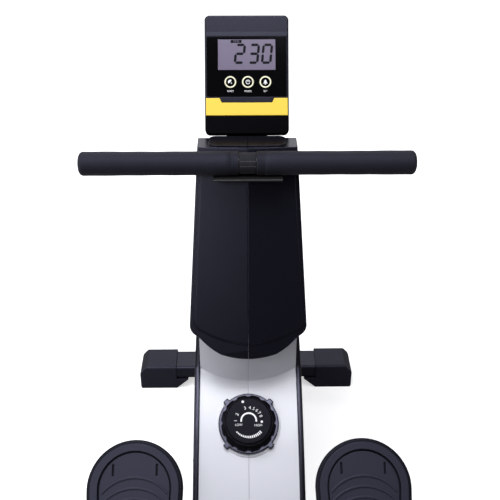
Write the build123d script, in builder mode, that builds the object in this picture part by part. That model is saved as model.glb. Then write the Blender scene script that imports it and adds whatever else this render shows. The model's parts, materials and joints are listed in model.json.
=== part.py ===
from build123d import *
import os
from math import atan2, cos, degrees, hypot, radians, sin, sqrt, tan

# Foldable magnetic rowing machine, one solid or small group per physical piece, in millimetres.
# X runs to the rower's right, Y from the rower towards the flywheel, Z up from the floor.
# The origin is on the floor in the middle of the machine's length and width.

# Driving dimensions: whole machine
overall_length = 1890.0
running_clearance = 0.06     # radial, between a shaft and what turns on it
part_gap = 0.4               # between pieces of different moving bodies
seam_gap = 0.3               # between neighbouring mouldings
bolt_clearance = 0.15        # around tubes and inserts that seat in a socket

# Driving dimensions: front stabiliser, feet and transport wheels
stabiliser_width = 433.0
foot_length = 74.0
foot_depth = 65.0
foot_height = 53.0
foot_corner = 14.5           # outer top corner cut off a foot, across
foot_corner_drop = 16.0      # and down
foot_toe = 24.0              # reach of a foot inwards under its tube
foot_round = 6.0
foot_chamfer = 2.5
foot_wall = 3.5
foot_socket = 26.0           # depth of tube held inside a foot
tube_height = 28.0
middle_foot_half = 85.0
middle_foot_depth = 60.0
middle_foot_toe = 18.0       # height of the middle foot's ends
middle_arch_half = 50.0
middle_arch_height = 12.0
middle_arch_slope = 75.0
tube_wall = 2.0
wheel_radius = 22.5
wheel_width = 14.0
wheel_gap = 1.5
wheel_proud = 4.5            # how far a transport wheel stands out of the foot's far side
wheel_lift = 2.5             # its height over the floor when the machine stands
wheel_axle_radius = 4.0
wheel_inset = 32.0           # outer end of the foot to the middle of the wheel
tube_round = 6.0
wheel_hub_radius = 9.0
wheel_rim_radius = 17.0
wheel_dish = 3.0
wheel_dish_draft = 1.0
wheel_edge = 2.0

# Driving dimensions: frame weldment
beam_height = 48.0
beam_wall = 3.0
plate_thickness = 5.0
mast_size = 30.0
mast_wall = 2.5
mast_top_z = 585.0
mast_round = 3.0
mast_gap = 7.0               # flywheel shaft to the mast
beam_round = 4.0
beam_tail = 35.0             # beam behind the fold pin
weld_inset = 5.0             # plates start this far inside the beam's edges
lug_length = 50.0
lug_inset = 8.0
pin_boss_radius = 9.0
pin_proud = 3.0
cheek_gap = 1.0              # hinge cheek to the nose of the housing
axle_boss_radius = 22.0
axle_plate_tail = 35.0
fork_height = 50.0
fork_inset = 4.0
fork_thickness = 3.0
shaft_radius = 8.0

# Driving dimensions: flywheel, pulleys and spool
flywheel_setback = 203.0     # stabiliser centre to flywheel axis
flywheel_z = 225.0
flywheel_radius = 120.0
flywheel_width = 26.0
flywheel_rim = 22.0
spool_setback = 145.0        # flywheel axis to spool axis
spool_z = 205.0
drive_pulley_radius = 80.0
small_pulley_radius = 18.0
pulley_width = 14.0
belt_thickness = 2.2
strap_width = 24.0
strap_thickness = 1.6
spool_wound_radius = 30.0
spool_flange_radius = 42.0
spool_flange = 2.5
magnet_reach_angle = 62.0
magnet_gap = 8.0
magnet_thickness = 5.0
magnet_pivot_angle = -40.0
magnet_pin_radius = 4.0
magnet_eye_radius = 7.0
magnet_overlap = 2.0         # bracket beyond each side of the flywheel
flywheel_gap = 6.0           # axle plate to flywheel
flywheel_web = 8.0
hub_radius = 20.0
shaft_proud = 4.0
pulley_gap = 4.0             # axle plate to belt pulleys
pulley_web = 5.0
pulley_rim = 9.0
pulley_holes = 5
pulley_hole_radius = 14.0
belt_inset = 1.0
nut_radius = 13.0
nut_height = 6.5
nut_gap = 0.5
nut_proud = 1.0              # axle beyond its nuts
spool_side_gap = 1.0
cable_radius = 2.0
cable_gap = 2.0
cable_bend = 40.0
cable_ahead = 30.0           # knob shaft to the cable's first end
cable_below = 16.0
cable_rise = 44.0
cable_drop = 20.0            # below the hood's lip
cable_hook = 14.0

# Driving dimensions: handle and cradle
handle_length = 460.0
handle_radius = 16.5
bar_radius = 12.5
handle_setback = 87.0        # mast centre to handle axis, at rest
handle_z = 630.0
pull_angle = 8.0
cradle_width = 94.0
cradle_thickness = 3.0
cradle_edge = 1.2
cradle_root = 10.0           # height of the cradle's root on the hood below its shelf
cradle_reach = 22.0          # lip in front of the handle axis
clip_width = 24.0
guide_roller_radius = 12.0
roller_pin_radius = 4.0
roller_side_gap = 1.5
bar_wall = 2.0
grip_end = 6.0               # foam beyond the end of the bar
grip_round = 5.0
grip_fit = 0.02
guide_roller_setback = 52.0  # handle axis to the point where the strap leaves the guide roller

# Driving dimensions: hood over the mast
shell_wall = 3.0
hood_slope = 65.0
hood_top_z = 640.0
hood_top_half = 70.0
hood_waist_z = 430.0
hood_waist_half = 82.0
hood_lip_z = 368.0
hood_lip_side_rise = 24.0
hood_lip_half = 64.0
hood_side_rise = 36.0        # lower end of the hood sides over the middle of the lip
hood_corner = 14.0
column_lap = 16.0            # height of the housing wall hidden inside the hood
column_gap = 4.0
hood_crease = 6.0            # how far each half of the front panel falls away at its side
hood_lip_height = 22.0       # upright lip below the sloping panel
hood_rebate = 3.0            # how far the raised panel stands out of the margin round it
hood_edge = 2.0
panel_margin = 5.0
panel_bow = 22.0             # rise of the panel's lower edge from its middle to its sides
panel_corner = 14.0
panel_top_drop = 12.0
panel_round = 3.0
hood_crest_depth = 43.0
hood_back_slope = 26.0
hood_back_y_run = 48.0
hood_back_lean = 45.0
collar_half = 54.0
collar_height = 3.0
collar_sink = 1.0
collar_setback = 8.0
collar_round = 10.0
hood_front_room = 60.0       # sketch planes this far clear of the hood
strap_slot_room = 4.0
strap_slot_height = 9.0
strap_slot_reach = 30.0
neck_slot_room = 2.0
neck_slot_reach = 40.0
hood_boss_radius = 7.0
hood_boss_rise = 90.0
hood_boss_drop = 60.0

# Driving dimensions: lower housing
housing_half = 72.0
side_cover_thickness = 8.0
side_cover_rise = 2.0
nose_y_offset = 128.0        # knob centre to the foremost point of the nose
nose_z = 165.0
nose_radius = 22.0
housing_bottom_z = 76.0
knob_setback = 88.0          # spool axis to knob centre
knob_z = 266.0
crease_rise = 37.0           # from the knob centre up to the foot of the wall
wall_overhang = 32.0         # hood lip in front of the wall
wall_arc = 18.0              # how far the wall falls back at its sides
flywheel_cover_gap = 22.0
side_cover_round = 4.0
nose_drop = 13.0
deck_end_rise = 10.5
pad_height = 1.0             # flat pad on the deck under the knob
pad_margin = 3.0
channel_room = 1.0
channel_reach = 5.0
housing_boss_radius = 5.0
housing_boss_front = 70.0
housing_boss_back = 7.0
housing_boss_drop = 11.0

# Driving dimensions: tension knob
knob_base_radius = 44.0
knob_base_height = 6.0
knob_skirt_radius = 40.0
knob_dial_radius = 33.5
knob_height = 18.0
knob_shaft_radius = 6.0
knob_flutes = 12
knob_flute_radius = 5.0
knob_tab = 9.0
knob_tab_round = 2.0
knob_tabs = 4
knob_tab_turn = 45.0
knob_base_edge = 1.0
knob_skirt_height = 6.0
knob_step = 3.0              # slope from the skirt up to the dial
knob_step_run = 2.0
knob_draft = 0.5
knob_edge = 2.0
knob_hole_gap = 1.5
knob_hole_reach = 20.0
knob_shaft_depth = 34.0

# Driving dimensions: console
console_width = 120.0
console_length = 170.0
console_depth = 30.0
console_front_depth = 14.0
console_tilt = 60.0
console_corner = 7.0
console_wall = 2.5
console_lift = 4.0           # lower edge of the face over the hood's crest
console_forward = 17.0       # lower edge of the face in front of the mast centre
window_width = 114.0
window_top = 54.0
window_bottom = -31.5
window_thickness = 2.0
lcd_width = 82.0
lcd_top = 50.5
lcd_bottom = 7.0
button_radius = 9.2
button_pitch = 25.0
button_row = -10.7
button_shift = 1.5
button_travel = 1.0
trim_top = -33.5
trim_bottom = -58.5
trim_proud = 1.5
trim_depth = 1.5
trim_notch_half = 36.0
trim_notch_depth = 6.5
neck_width = 60.0
neck_thickness = 5.0
board_width = 96.0
board_thickness = 1.6
board_inset = 20.0
board_lug = 10.0
board_lug_height = 8.0
board_lug_inset = 30.0
console_edge = 2.0
console_front_wall = 5.0
console_back_taper = 25.0    # draft of the rear case, in degrees
window_corner = 2.0
lcd_thickness = 3.7
trim_margin = 1.5
trim_notch_slope = 3.0
trim_edge = 0.6
button_edge = 0.6
button_proud = 1.2
button_body = 8.0
neck_overlap = 45.0          # bracket below the mast's top
neck_reach = 20.0            # bracket above the middle of the console's back

# Driving dimensions: pedals
pedal_spacing = 314.0        # between pedal centres
pedal_width = 132.0
pedal_length = 290.0
pedal_angle = 42.0
pedal_thickness = 11.0
pedal_edge = 5.5             # lower band round the outside of the foot plate
pedal_rim = 4.0
pedal_rim_width = 10.0
pedal_groove = 2.5
pedal_groove_depth = 1.5
pedal_floor = 1.5            # height of the inner panel
pedal_round = 3.0
tread_radius = 58.0
tread_width = 2.6
tread_height = 1.6
tread_pitch = 14.0
tread_count = 11
tread_first = 51.0           # toe to the first tread
tread_depth = 20.0
toe_slot_x = 30.0
toe_slot_length = 16.0
toe_slot_width = 3.0
toe_slot_drop = 41.0         # toe to the middle of the slots
pedal_heel_height = 38.0
pedal_heel_wall = 7.0
pedal_hub_radius = 17.0
pedal_drop = 27.0            # plate top to axle
pedal_axle_ahead = 14.0      # nose to pedal axle
pedal_axle_z = 170.0
foot_strap_width = 42.0
foot_strap_thickness = 3.0
foot_strap_height = 74.0
foot_strap_straight = 22.0
foot_strap_mid = 5.0         # pedal centre to the middle of the strap
foot_strap_inset = 12.0
foot_slot_room = 1.0
heel_taper = 9.0
pedal_hub_inset = 6.0
axle_collar = 8.0
axle_inner_collar = 6.0
axle_collar_rise = 5.0
axle_tip = 1.0

# Driving dimensions: rail, fold hinge and rear leg
rail_flange_width = 66.0
rail_flange = 9.0
rail_body_width = 45.0
rail_height = 75.0
rail_wall = 3.0
groove_rise = 24.0           # underside of the rail to the groove along each side
groove_height = 12.0
groove_depth = 1.2
rail_top_z = 255.0
hinge_ahead = 63.0           # pedal axle to fold pin
hinge_z = 217.0
hinge_pin_radius = 9.0
hinge_gap = 2.5
rail_nose = 20.0             # rail ahead of the fold pin
rear_leg_width = 40.0
rear_width = 400.0
rail_tail = 6.0
fold_knob_radius = 26.0
fold_knob_height = 24.0
clamp_radius = 5.0
clamp_setback = 17.0         # fold pin to clamp screw, edge to centre
clamp_stand = 14.0
clamp_collar = 4.0
lobe_radius = 8.0
lobe_count = 6
pin_end = 5.0
pin_head_radius = 15.0
pin_head = 7.0
hinge_tube_wall = 5.0
rail_round = 3.0
flange_round = 2.0
flange_trim = 22.0           # hinge cheeks to the start of the flanges
leg_round = 5.0

# Driving dimensions: seat
seat_width = 300.0
seat_length = 250.0
seat_thickness = 52.0
seat_crown = 9.0
seat_draw = 12.0
carriage_length = 190.0
carriage_thickness = 4.0
upper_roller_radius = 18.0
upper_roller_width = 44.0
lower_roller_radius = 10.0
lower_roller_width = 8.0
roller_bolt_radius = 5.0
roller_spacing = 120.0
stop_length = 22.0
stop_over = 6.0              # stop above the centre of the rollers
stop_round = 4.0
seat_corner = 60.0
carriage_gap = 2.0
carriage_room = 4.0
cheek_margin = 3.0
bolt_head = 4.0
bolt_head_rim = 4.0
roller_edge = 1.5
roller_washer = 1.0

# Stations worked out from the driving dimensions
front_y = overall_length / 2
rear_y = -front_y
foot_y = front_y - wheel_proud - foot_depth / 2
tube_depth = foot_depth - 2 * foot_wall
tube_z = foot_height - foot_wall - tube_height / 2
tube_top = tube_z + tube_height / 2
beam_top = tube_top + beam_height
beam_z = tube_top + beam_height / 2
beam_width = rail_body_width + 2 * hinge_gap
flywheel_y = foot_y - flywheel_setback
spool_y = flywheel_y - spool_setback
mast_y = flywheel_y - shaft_radius - mast_size / 2 - mast_gap
plate_inner = beam_width / 2
plate_outer = plate_inner + plate_thickness
handle_y = mast_y - handle_setback
knob_y = spool_y - knob_setback
nose_y = knob_y - nose_y_offset
pedal_axle_y = nose_y - pedal_axle_ahead
hinge_y = pedal_axle_y - hinge_ahead
rail_bottom = rail_top_z - rail_height
rail_front_y = hinge_y + rail_nose
cheek_radius = rail_top_z - hinge_z
clamp_y = hinge_y - hinge_pin_radius - clamp_setback
clamp_z = hinge_z


def side_plane(x):
    """Plane for side views: sketch axes are Y and Z, and it faces +X."""
    return Plane.YZ.offset(x)


def front_plane(y):
    """Plane for front views: sketch axes are X and Z, and it faces the rower."""
    return Plane.XZ.offset(-y)


def mirrored(piece):
    """The left-hand copy of a right-hand piece."""
    with BuildPart() as other:
        mirror(piece.part, about=Plane.YZ)
    return other


pieces = {}

# Front stabiliser: a rectangular tube with a moulded foot on each end
tube_half = stabiliser_width / 2 - foot_length + foot_socket
with BuildPart() as front_stabiliser:
    with BuildSketch(side_plane(-tube_half)):
        with Locations((foot_y, tube_z)):
            RectangleRounded(tube_depth, tube_height, tube_round)
            RectangleRounded(tube_depth - 2 * tube_wall, tube_height - 2 * tube_wall,
                             tube_round - tube_wall, mode=Mode.SUBTRACT)
    extrude(amount=2 * tube_half)
pieces["front_stabiliser"] = front_stabiliser


def foot_block(width, y):
    """Right-hand moulded foot on a cross tube of the given width, with its socket for the tube."""
    inner_x = width / 2 - foot_length
    outer_x = width / 2
    under_z = tube_top - tube_height - bolt_clearance
    with BuildPart() as block:
        with BuildSketch(front_plane(y + foot_depth / 2)):
            with BuildLine():
                Polyline((inner_x, 0), (outer_x, 0), (outer_x, foot_height - foot_corner_drop),
                         (outer_x - foot_corner, foot_height), (inner_x, foot_height),
                         (inner_x, under_z), (inner_x - foot_toe, under_z), close=True)
            make_face()
        extrude(amount=foot_depth)
        fillet(block.edges().filter_by(Axis.X).group_by(Axis.Z)[-1], radius=foot_round)
        chamfer(block.faces().sort_by(Axis.X)[-1].edges(), length=foot_chamfer)
        with BuildSketch(side_plane(inner_x)):
            with Locations((y, tube_z)):
                RectangleRounded(tube_depth + 2 * bolt_clearance, tube_height + 2 * bolt_clearance,
                                 tube_round)
        extrude(amount=foot_socket + bolt_clearance, mode=Mode.SUBTRACT)
    return block.part


wheel_x = stabiliser_width / 2 - wheel_inset
wheel_y = front_y - wheel_radius
wheel_z = wheel_radius + wheel_lift
with BuildPart() as front_foot:
    add(foot_block(stabiliser_width, foot_y))
    slot_back = front_y - 2 * wheel_radius - wheel_gap
    slot_top = wheel_z + wheel_radius + wheel_gap
    with BuildSketch(side_plane(wheel_x - wheel_width / 2 - wheel_gap)):
        with BuildLine():
            Polyline((slot_back, -wheel_gap), (front_y, -wheel_gap), (front_y, slot_top),
                     (slot_back, slot_top), close=True)
        make_face()
    extrude(amount=wheel_width + 2 * wheel_gap, mode=Mode.SUBTRACT)
    with BuildSketch(side_plane(wheel_x - wheel_width / 2 - wheel_gap)):
        with Locations((wheel_y, wheel_z)):
            Circle(wheel_axle_radius)
    extrude(amount=wheel_width + 2 * wheel_gap)
pieces["front_foot_right"] = front_foot
pieces["front_foot_left"] = mirrored(front_foot)

with BuildPart() as transport_wheel:
    with BuildSketch(Plane.XZ):
        with BuildLine():
            half = wheel_width / 2
            bore = wheel_axle_radius + running_clearance
            dish_low = wheel_hub_radius + wheel_dish_draft
            dish_high = wheel_rim_radius - wheel_dish_draft
            Polyline((-half, bore), (half, bore), (half, wheel_hub_radius),
                     (half - wheel_dish, dish_low), (half - wheel_dish, dish_high),
                     (half, wheel_rim_radius), (half, wheel_radius - wheel_edge),
                     (half - wheel_edge, wheel_radius), (wheel_edge - half, wheel_radius),
                     (-half, wheel_radius - wheel_edge), (-half, wheel_rim_radius),
                     (wheel_dish - half, dish_high), (wheel_dish - half, dish_low),
                     (-half, wheel_hub_radius), close=True)
        make_face()
    revolve(axis=Axis.X)
transport_wheel.part.position = (wheel_x, wheel_y, wheel_z)
pieces["transport_wheel_right"] = transport_wheel
pieces["transport_wheel_left"] = mirrored(transport_wheel)

# Frame weldment: base beam on the stabiliser, hinge cheeks, axle plates and mast
beam_rear_y = hinge_y - beam_tail
beam_front_y = foot_y + tube_depth / 2
magnet_pivot_radius = flywheel_radius + magnet_gap + magnet_thickness / 2
magnet_pivot_y = flywheel_y + magnet_pivot_radius * cos(radians(magnet_pivot_angle))
magnet_pivot_z = flywheel_z + magnet_pivot_radius * sin(radians(magnet_pivot_angle))
flywheel_inner_x = plate_outer + flywheel_gap
flywheel_outer_x = flywheel_inner_x + flywheel_width

with BuildPart() as base_beam:
    with BuildSketch(front_plane(beam_rear_y)):
        with Locations((0, beam_z)):
            RectangleRounded(beam_width, beam_height, beam_round)
            Rectangle(beam_width - 2 * beam_wall, beam_height - 2 * beam_wall, mode=Mode.SUBTRACT)
    extrude(amount=beam_rear_y - beam_front_y)
    with BuildSketch(side_plane(-plate_outer)) as lug:
        with Locations((magnet_pivot_y, magnet_pivot_z)):
            Circle(pin_boss_radius)
        with Locations((magnet_pivot_y, beam_z)):
            Rectangle(lug_length, beam_height - 2 * lug_inset)
        make_hull(lug.edges())
    extrude(amount=plate_thickness)
    with BuildSketch(side_plane(-plate_inner)):
        with Locations((magnet_pivot_y, magnet_pivot_z)):
            Circle(magnet_pin_radius)
    extrude(amount=plate_inner - flywheel_outer_x - pin_proud)
pieces["base_beam"] = base_beam

with BuildPart() as hinge_cheeks:
    with BuildSketch(side_plane(plate_inner)) as cheek:
        with Locations((hinge_y, hinge_z)):
            Circle(cheek_radius)
        with Locations((pedal_axle_y, pedal_axle_z)):
            Circle(pedal_axle_ahead - cheek_gap)
        with Locations(((beam_rear_y + pedal_axle_y) / 2, beam_z)):
            Rectangle(pedal_axle_y - beam_rear_y, beam_height - 2 * weld_inset)
        make_hull(cheek.edges())
        with Locations((hinge_y, hinge_z)):
            Circle(hinge_pin_radius + running_clearance, mode=Mode.SUBTRACT)
        with Locations((pedal_axle_y, pedal_axle_z)):
            Circle(shaft_radius + running_clearance, mode=Mode.SUBTRACT)
        with Locations((clamp_y, clamp_z)):
            Circle(clamp_radius + running_clearance, mode=Mode.SUBTRACT)
    extrude(amount=plate_thickness)
    mirror(about=Plane.YZ)
pieces["hinge_cheeks"] = hinge_cheeks

with BuildPart() as axle_plates:
    with BuildSketch(side_plane(plate_inner)) as plate:
        with Locations((spool_y, spool_z)):
            Circle(axle_boss_radius)
        with Locations((flywheel_y, flywheel_z)):
            Circle(axle_boss_radius)
        with Locations(((spool_y + flywheel_y) / 2, beam_z)):
            Rectangle(spool_setback + 2 * axle_plate_tail, beam_height - 2 * weld_inset)
        make_hull(plate.edges())
        with Locations((spool_y, spool_z), (flywheel_y, flywheel_z)):
            Circle(shaft_radius + running_clearance, mode=Mode.SUBTRACT)
    extrude(amount=plate_thickness)
    mirror(about=Plane.YZ)
pieces["axle_plates"] = axle_plates

# The strap leaves the guide roller along the line of pull, through the handle's axis
pull_y = -cos(radians(pull_angle))
pull_z = sin(radians(pull_angle))
strap_offset = guide_roller_radius + part_gap + strap_thickness / 2
strap_leave_y = handle_y - guide_roller_setback * pull_y
strap_leave_z = handle_z - guide_roller_setback * pull_z
roller_y = strap_leave_y - strap_offset * pull_z
roller_z = strap_leave_z + strap_offset * pull_y
roller_half = strap_width / 2 + roller_side_gap

with BuildPart() as mast:
    with BuildSketch(Plane.XY.offset(beam_top)):
        with Locations((0, mast_y)):
            RectangleRounded(mast_size, mast_size, mast_round)
            Rectangle(mast_size - 2 * mast_wall, mast_size - 2 * mast_wall, mode=Mode.SUBTRACT)
    extrude(amount=mast_top_z - beam_top)
    with BuildSketch(side_plane(mast_size / 2)) as fork:
        with Locations((roller_y, roller_z)):
            Circle(pin_boss_radius)
        with Locations((mast_y, mast_top_z - fork_height / 2)):
            Rectangle(mast_size - 2 * fork_inset, fork_height)
        make_hull(fork.edges())
    extrude(amount=fork_thickness)
    mirror(about=Plane.YZ)
    with BuildSketch(side_plane(-mast_size / 2 - fork_thickness)):
        with Locations((roller_y, roller_z)):
            Circle(roller_pin_radius)
    extrude(amount=mast_size + 2 * fork_thickness)
pieces["mast"] = mast

with BuildPart() as guide_roller:
    with BuildSketch(side_plane(-roller_half)):
        with Locations((roller_y, roller_z)):
            Circle(guide_roller_radius)
            Circle(roller_pin_radius + running_clearance, mode=Mode.SUBTRACT)
    extrude(amount=2 * roller_half)
pieces["guide_roller"] = guide_roller

with BuildPart() as fold_pin:
    with BuildSketch(side_plane(-plate_outer - pin_end)):
        with Locations((hinge_y, hinge_z)):
            Circle(hinge_pin_radius)
    extrude(amount=2 * (plate_outer + pin_end))
    with BuildSketch(side_plane(plate_outer + part_gap)):
        with Locations((hinge_y, hinge_z)):
            RegularPolygon(pin_head_radius, 6)
    extrude(amount=pin_head)
    mirror(about=Plane.YZ)
pieces["fold_pin"] = fold_pin

# A moulded foot under the beam below the hinge, so that the machine also stands when folded
with BuildPart() as middle_foot:
    middle_top_half = beam_width / 2 + foot_wall
    with BuildSketch(front_plane(hinge_y + middle_foot_depth / 2)):
        with BuildLine():
            Polyline((-middle_foot_half, 0), (middle_foot_half, 0),
                     (middle_foot_half - foot_round, middle_foot_toe), (middle_top_half, tube_top),
                     (-middle_top_half, tube_top), (foot_round - middle_foot_half, middle_foot_toe),
                     close=True)
        make_face()
        Trapezoid(2 * middle_arch_half, middle_arch_height, middle_arch_slope,
                  align=(Align.CENTER, Align.MIN), mode=Mode.SUBTRACT)
    extrude(amount=middle_foot_depth)
pieces["middle_foot"] = middle_foot

# Flywheel with a heavy rim, on a shaft that carries the small belt pulley on the far side
pulley_inner_x = plate_outer + pulley_gap
pulley_outer_x = pulley_inner_x + pulley_width
with BuildPart() as flywheel:
    with BuildSketch(side_plane(-flywheel_outer_x)):
        with Locations((flywheel_y, flywheel_z)):
            Circle(flywheel_radius)
    extrude(amount=flywheel_width)
    recess = (flywheel_width - flywheel_web) / 2
    for x in (-flywheel_outer_x, -flywheel_inner_x - recess):
        with BuildSketch(side_plane(x)):
            with Locations((flywheel_y, flywheel_z)):
                Circle(flywheel_radius - flywheel_rim)
                Circle(hub_radius, mode=Mode.SUBTRACT)
        extrude(amount=recess, mode=Mode.SUBTRACT)
    with BuildSketch(side_plane(-flywheel_outer_x - shaft_proud)):
        with Locations((flywheel_y, flywheel_z)):
            Circle(shaft_radius)
    extrude(amount=flywheel_outer_x + shaft_proud + pulley_outer_x)
    with BuildSketch(side_plane(pulley_inner_x)):
        with Locations((flywheel_y, flywheel_z)):
            Circle(small_pulley_radius)
    extrude(amount=pulley_width)
pieces["flywheel"] = flywheel

axle_left_x = -plate_outer - nut_gap - nut_height
axle_right_x = pulley_outer_x + nut_gap + nut_height
with BuildPart() as spool_axle:
    with BuildSketch(side_plane(axle_left_x - nut_proud)):
        with Locations((spool_y, spool_z)):
            Circle(shaft_radius)
    extrude(amount=axle_right_x - axle_left_x + 2 * nut_proud)
    for x in (axle_left_x, axle_right_x - nut_height):
        with BuildSketch(side_plane(x)):
            with Locations((spool_y, spool_z)):
                RegularPolygon(nut_radius, 6)
        extrude(amount=nut_height)
pieces["spool_axle"] = spool_axle

with BuildPart() as drive_pulley:
    with BuildSketch(side_plane(pulley_inner_x)):
        with Locations((spool_y, spool_z)):
            Circle(drive_pulley_radius)
            Circle(shaft_radius + running_clearance, mode=Mode.SUBTRACT)
    extrude(amount=pulley_width)
    web_cut = (pulley_width - pulley_web) / 2
    for x in (pulley_inner_x, pulley_outer_x - web_cut):
        with BuildSketch(side_plane(x)):
            with Locations((spool_y, spool_z)):
                Circle(drive_pulley_radius - pulley_rim)
                Circle(hub_radius, mode=Mode.SUBTRACT)
        extrude(amount=web_cut, mode=Mode.SUBTRACT)
    with BuildSketch(side_plane(pulley_inner_x)):
        with Locations((spool_y, spool_z)):
            with PolarLocations((drive_pulley_radius - pulley_rim + hub_radius) / 2, pulley_holes):
                Circle(pulley_hole_radius)
    extrude(amount=pulley_width, mode=Mode.SUBTRACT)
pieces["drive_pulley"] = drive_pulley

with BuildPart() as drive_belt:
    with BuildSketch(side_plane(pulley_inner_x + belt_inset)) as belt_outer:
        with Locations((spool_y, spool_z)):
            Circle(drive_pulley_radius + part_gap + belt_thickness)
        with Locations((flywheel_y, flywheel_z)):
            Circle(small_pulley_radius + part_gap + belt_thickness)
        make_hull(belt_outer.edges())
    extrude(amount=pulley_width - 2 * belt_inset)
    with BuildSketch(side_plane(pulley_inner_x + belt_inset)) as belt_inner:
        with Locations((spool_y, spool_z)):
            Circle(drive_pulley_radius + part_gap)
        with Locations((flywheel_y, flywheel_z)):
            Circle(small_pulley_radius + part_gap)
        make_hull(belt_inner.edges())
    extrude(amount=pulley_width - 2 * belt_inset, mode=Mode.SUBTRACT)
pieces["drive_belt"] = drive_belt

spool_half = strap_width / 2 + spool_side_gap
with BuildPart() as strap_spool:
    with BuildSketch(side_plane(-spool_half)):
        with Locations((spool_y, spool_z)):
            Circle(spool_wound_radius)
            Circle(shaft_radius + running_clearance, mode=Mode.SUBTRACT)
    extrude(amount=2 * spool_half)
    with BuildSketch(side_plane(spool_half)):
        with Locations((spool_y, spool_z)):
            Circle(spool_flange_radius)
            Circle(shaft_radius + running_clearance, mode=Mode.SUBTRACT)
    extrude(amount=spool_flange)
    mirror(about=Plane.YZ)
pieces["strap_spool"] = strap_spool

# Strap inside the mast hood: over the guide roller and down to the spool
spool_strap_radius = spool_wound_radius + part_gap + strap_thickness / 2
down_y = spool_y - roller_y
down_z = spool_z - roller_z
down_length = hypot(down_y, down_z)
along = (strap_offset - spool_strap_radius) / down_length
across = sqrt(1 - along * along)
normal_y = (along * down_y - across * down_z) / down_length
normal_z = (along * down_z + across * down_y) / down_length
normal_angle = degrees(atan2(normal_z, normal_y))
leave_angle = 90.0 - pull_angle
with BuildPart() as strap_run:
    with BuildSketch(side_plane(-strap_width / 2)):
        with BuildLine():
            over = CenterArc((roller_y, roller_z), strap_offset, normal_angle,
                             leave_angle - normal_angle)
            Line(over @ 0, (spool_y + spool_strap_radius * normal_y,
                            spool_z + spool_strap_radius * normal_z))
            offset(amount=strap_thickness / 2, side=Side.BOTH)
        make_face()
    extrude(amount=strap_width)
pieces["strap_run"] = strap_run

# Magnet bracket: a curved channel outside the flywheel's rim, pivoted at its lower end
magnet_inner = flywheel_radius + magnet_gap
with BuildPart() as magnet_bracket:
    with BuildSketch(side_plane(-flywheel_outer_x - magnet_overlap)):
        with BuildLine():
            low = CenterArc((flywheel_y, flywheel_z), magnet_inner, magnet_pivot_angle,
                            magnet_reach_angle)
            high = CenterArc((flywheel_y, flywheel_z), magnet_inner + magnet_thickness,
                             magnet_pivot_angle, magnet_reach_angle)
            Line(low @ 0, high @ 0)
            Line(low @ 1, high @ 1)
        make_face()
        with Locations((magnet_pivot_y, magnet_pivot_z)):
            Circle(magnet_eye_radius)
            Circle(magnet_pin_radius + running_clearance, mode=Mode.SUBTRACT)
    extrude(amount=flywheel_width + 2 * magnet_overlap)
pieces["magnet_bracket"] = magnet_bracket

# Handle: a steel bar with a foam grip on each side of the strap loop
grip_inner_x = clip_width / 2 + seam_gap
with BuildPart() as handle_bar:
    with BuildSketch(side_plane(grip_end - handle_length / 2)):
        with Locations((handle_y, handle_z)):
            Circle(bar_radius)
            Circle(bar_radius - bar_wall, mode=Mode.SUBTRACT)
    extrude(amount=handle_length - 2 * grip_end)
pieces["handle_bar"] = handle_bar

with BuildPart() as grip:
    with BuildSketch(side_plane(grip_inner_x)):
        with Locations((handle_y, handle_z)):
            Circle(handle_radius)
    extrude(amount=handle_length / 2 - grip_inner_x)
    fillet(grip.edges().sort_by(Axis.X)[-1], radius=grip_round)
    with BuildSketch(side_plane(grip_inner_x)):
        with Locations((handle_y, handle_z)):
            Circle(bar_radius + grip_fit)
    extrude(amount=handle_length / 2 - grip_end - grip_inner_x, mode=Mode.SUBTRACT)
pieces["grip_right"] = grip
pieces["grip_left"] = mirrored(grip)

# Pull strap: a loop round the bar and the free stretch to the guide roller
loop_radius = bar_radius + part_gap + strap_thickness
strap_plane = Plane(origin=(0, handle_y, handle_z), x_dir=(1, 0, 0), z_dir=(0, -pull_y, -pull_z))
with BuildPart() as pull_strap:
    with BuildSketch(side_plane(-strap_width / 2)):
        with Locations((handle_y, handle_z)):
            Circle(loop_radius)
    extrude(amount=strap_width)
    with BuildSketch(strap_plane):
        Rectangle(strap_width, strap_thickness)
    extrude(amount=guide_roller_setback - part_gap - strap_thickness)
    with BuildSketch(side_plane(-strap_width / 2)):
        with Locations((handle_y, handle_z)):
            Circle(bar_radius + part_gap / 2)
    extrude(amount=strap_width, mode=Mode.SUBTRACT)
pieces["pull_strap"] = pull_strap

# The hood's front panel lies against the parked handle, and the cradle shelf carries it
rest_offset = handle_radius + part_gap
slope = radians(hood_slope)
panel_normal = Vector(0, -sin(slope), cos(slope))
panel_up = Vector(0, cos(slope), sin(slope))
pull = Vector(0, pull_y, pull_z)
shelf_up = Vector(0, pull_z, -pull_y)
handle_centre = Vector(0, handle_y, handle_z)
panel_point = handle_centre - panel_normal * rest_offset


def panel_y(z):
    """Y of the hood's front panel on its centre line at height z."""
    return panel_point.Y + (z - panel_point.Z) / tan(slope)


def hood_half(z):
    """Half width of the hood at height z."""
    share = (z - hood_waist_z) / (hood_top_z - hood_waist_z)
    return hood_waist_half + (hood_top_half - hood_waist_half) * share


def flat(point):
    """Side view coordinates of a point."""
    return (point.Y, point.Z)


shelf_turn = panel_normal.dot(shelf_up)
shelf_corner = handle_centre - shelf_up * rest_offset
shelf_corner += pull * (rest_offset * (shelf_turn - 1) / panel_normal.dot(pull))
shelf_tip = handle_centre - shelf_up * rest_offset + pull * cradle_reach
hood_lean = atan2(hood_crease, hood_waist_half)
half_normal = panel_normal * cos(hood_lean) + Vector(sin(hood_lean), 0, 0)


def panel_plane(height):
    """Plane of the right half of the hood's front panel, height outside its surface."""
    return Plane(origin=panel_point, x_dir=panel_up, z_dir=half_normal).offset(height)


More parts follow.
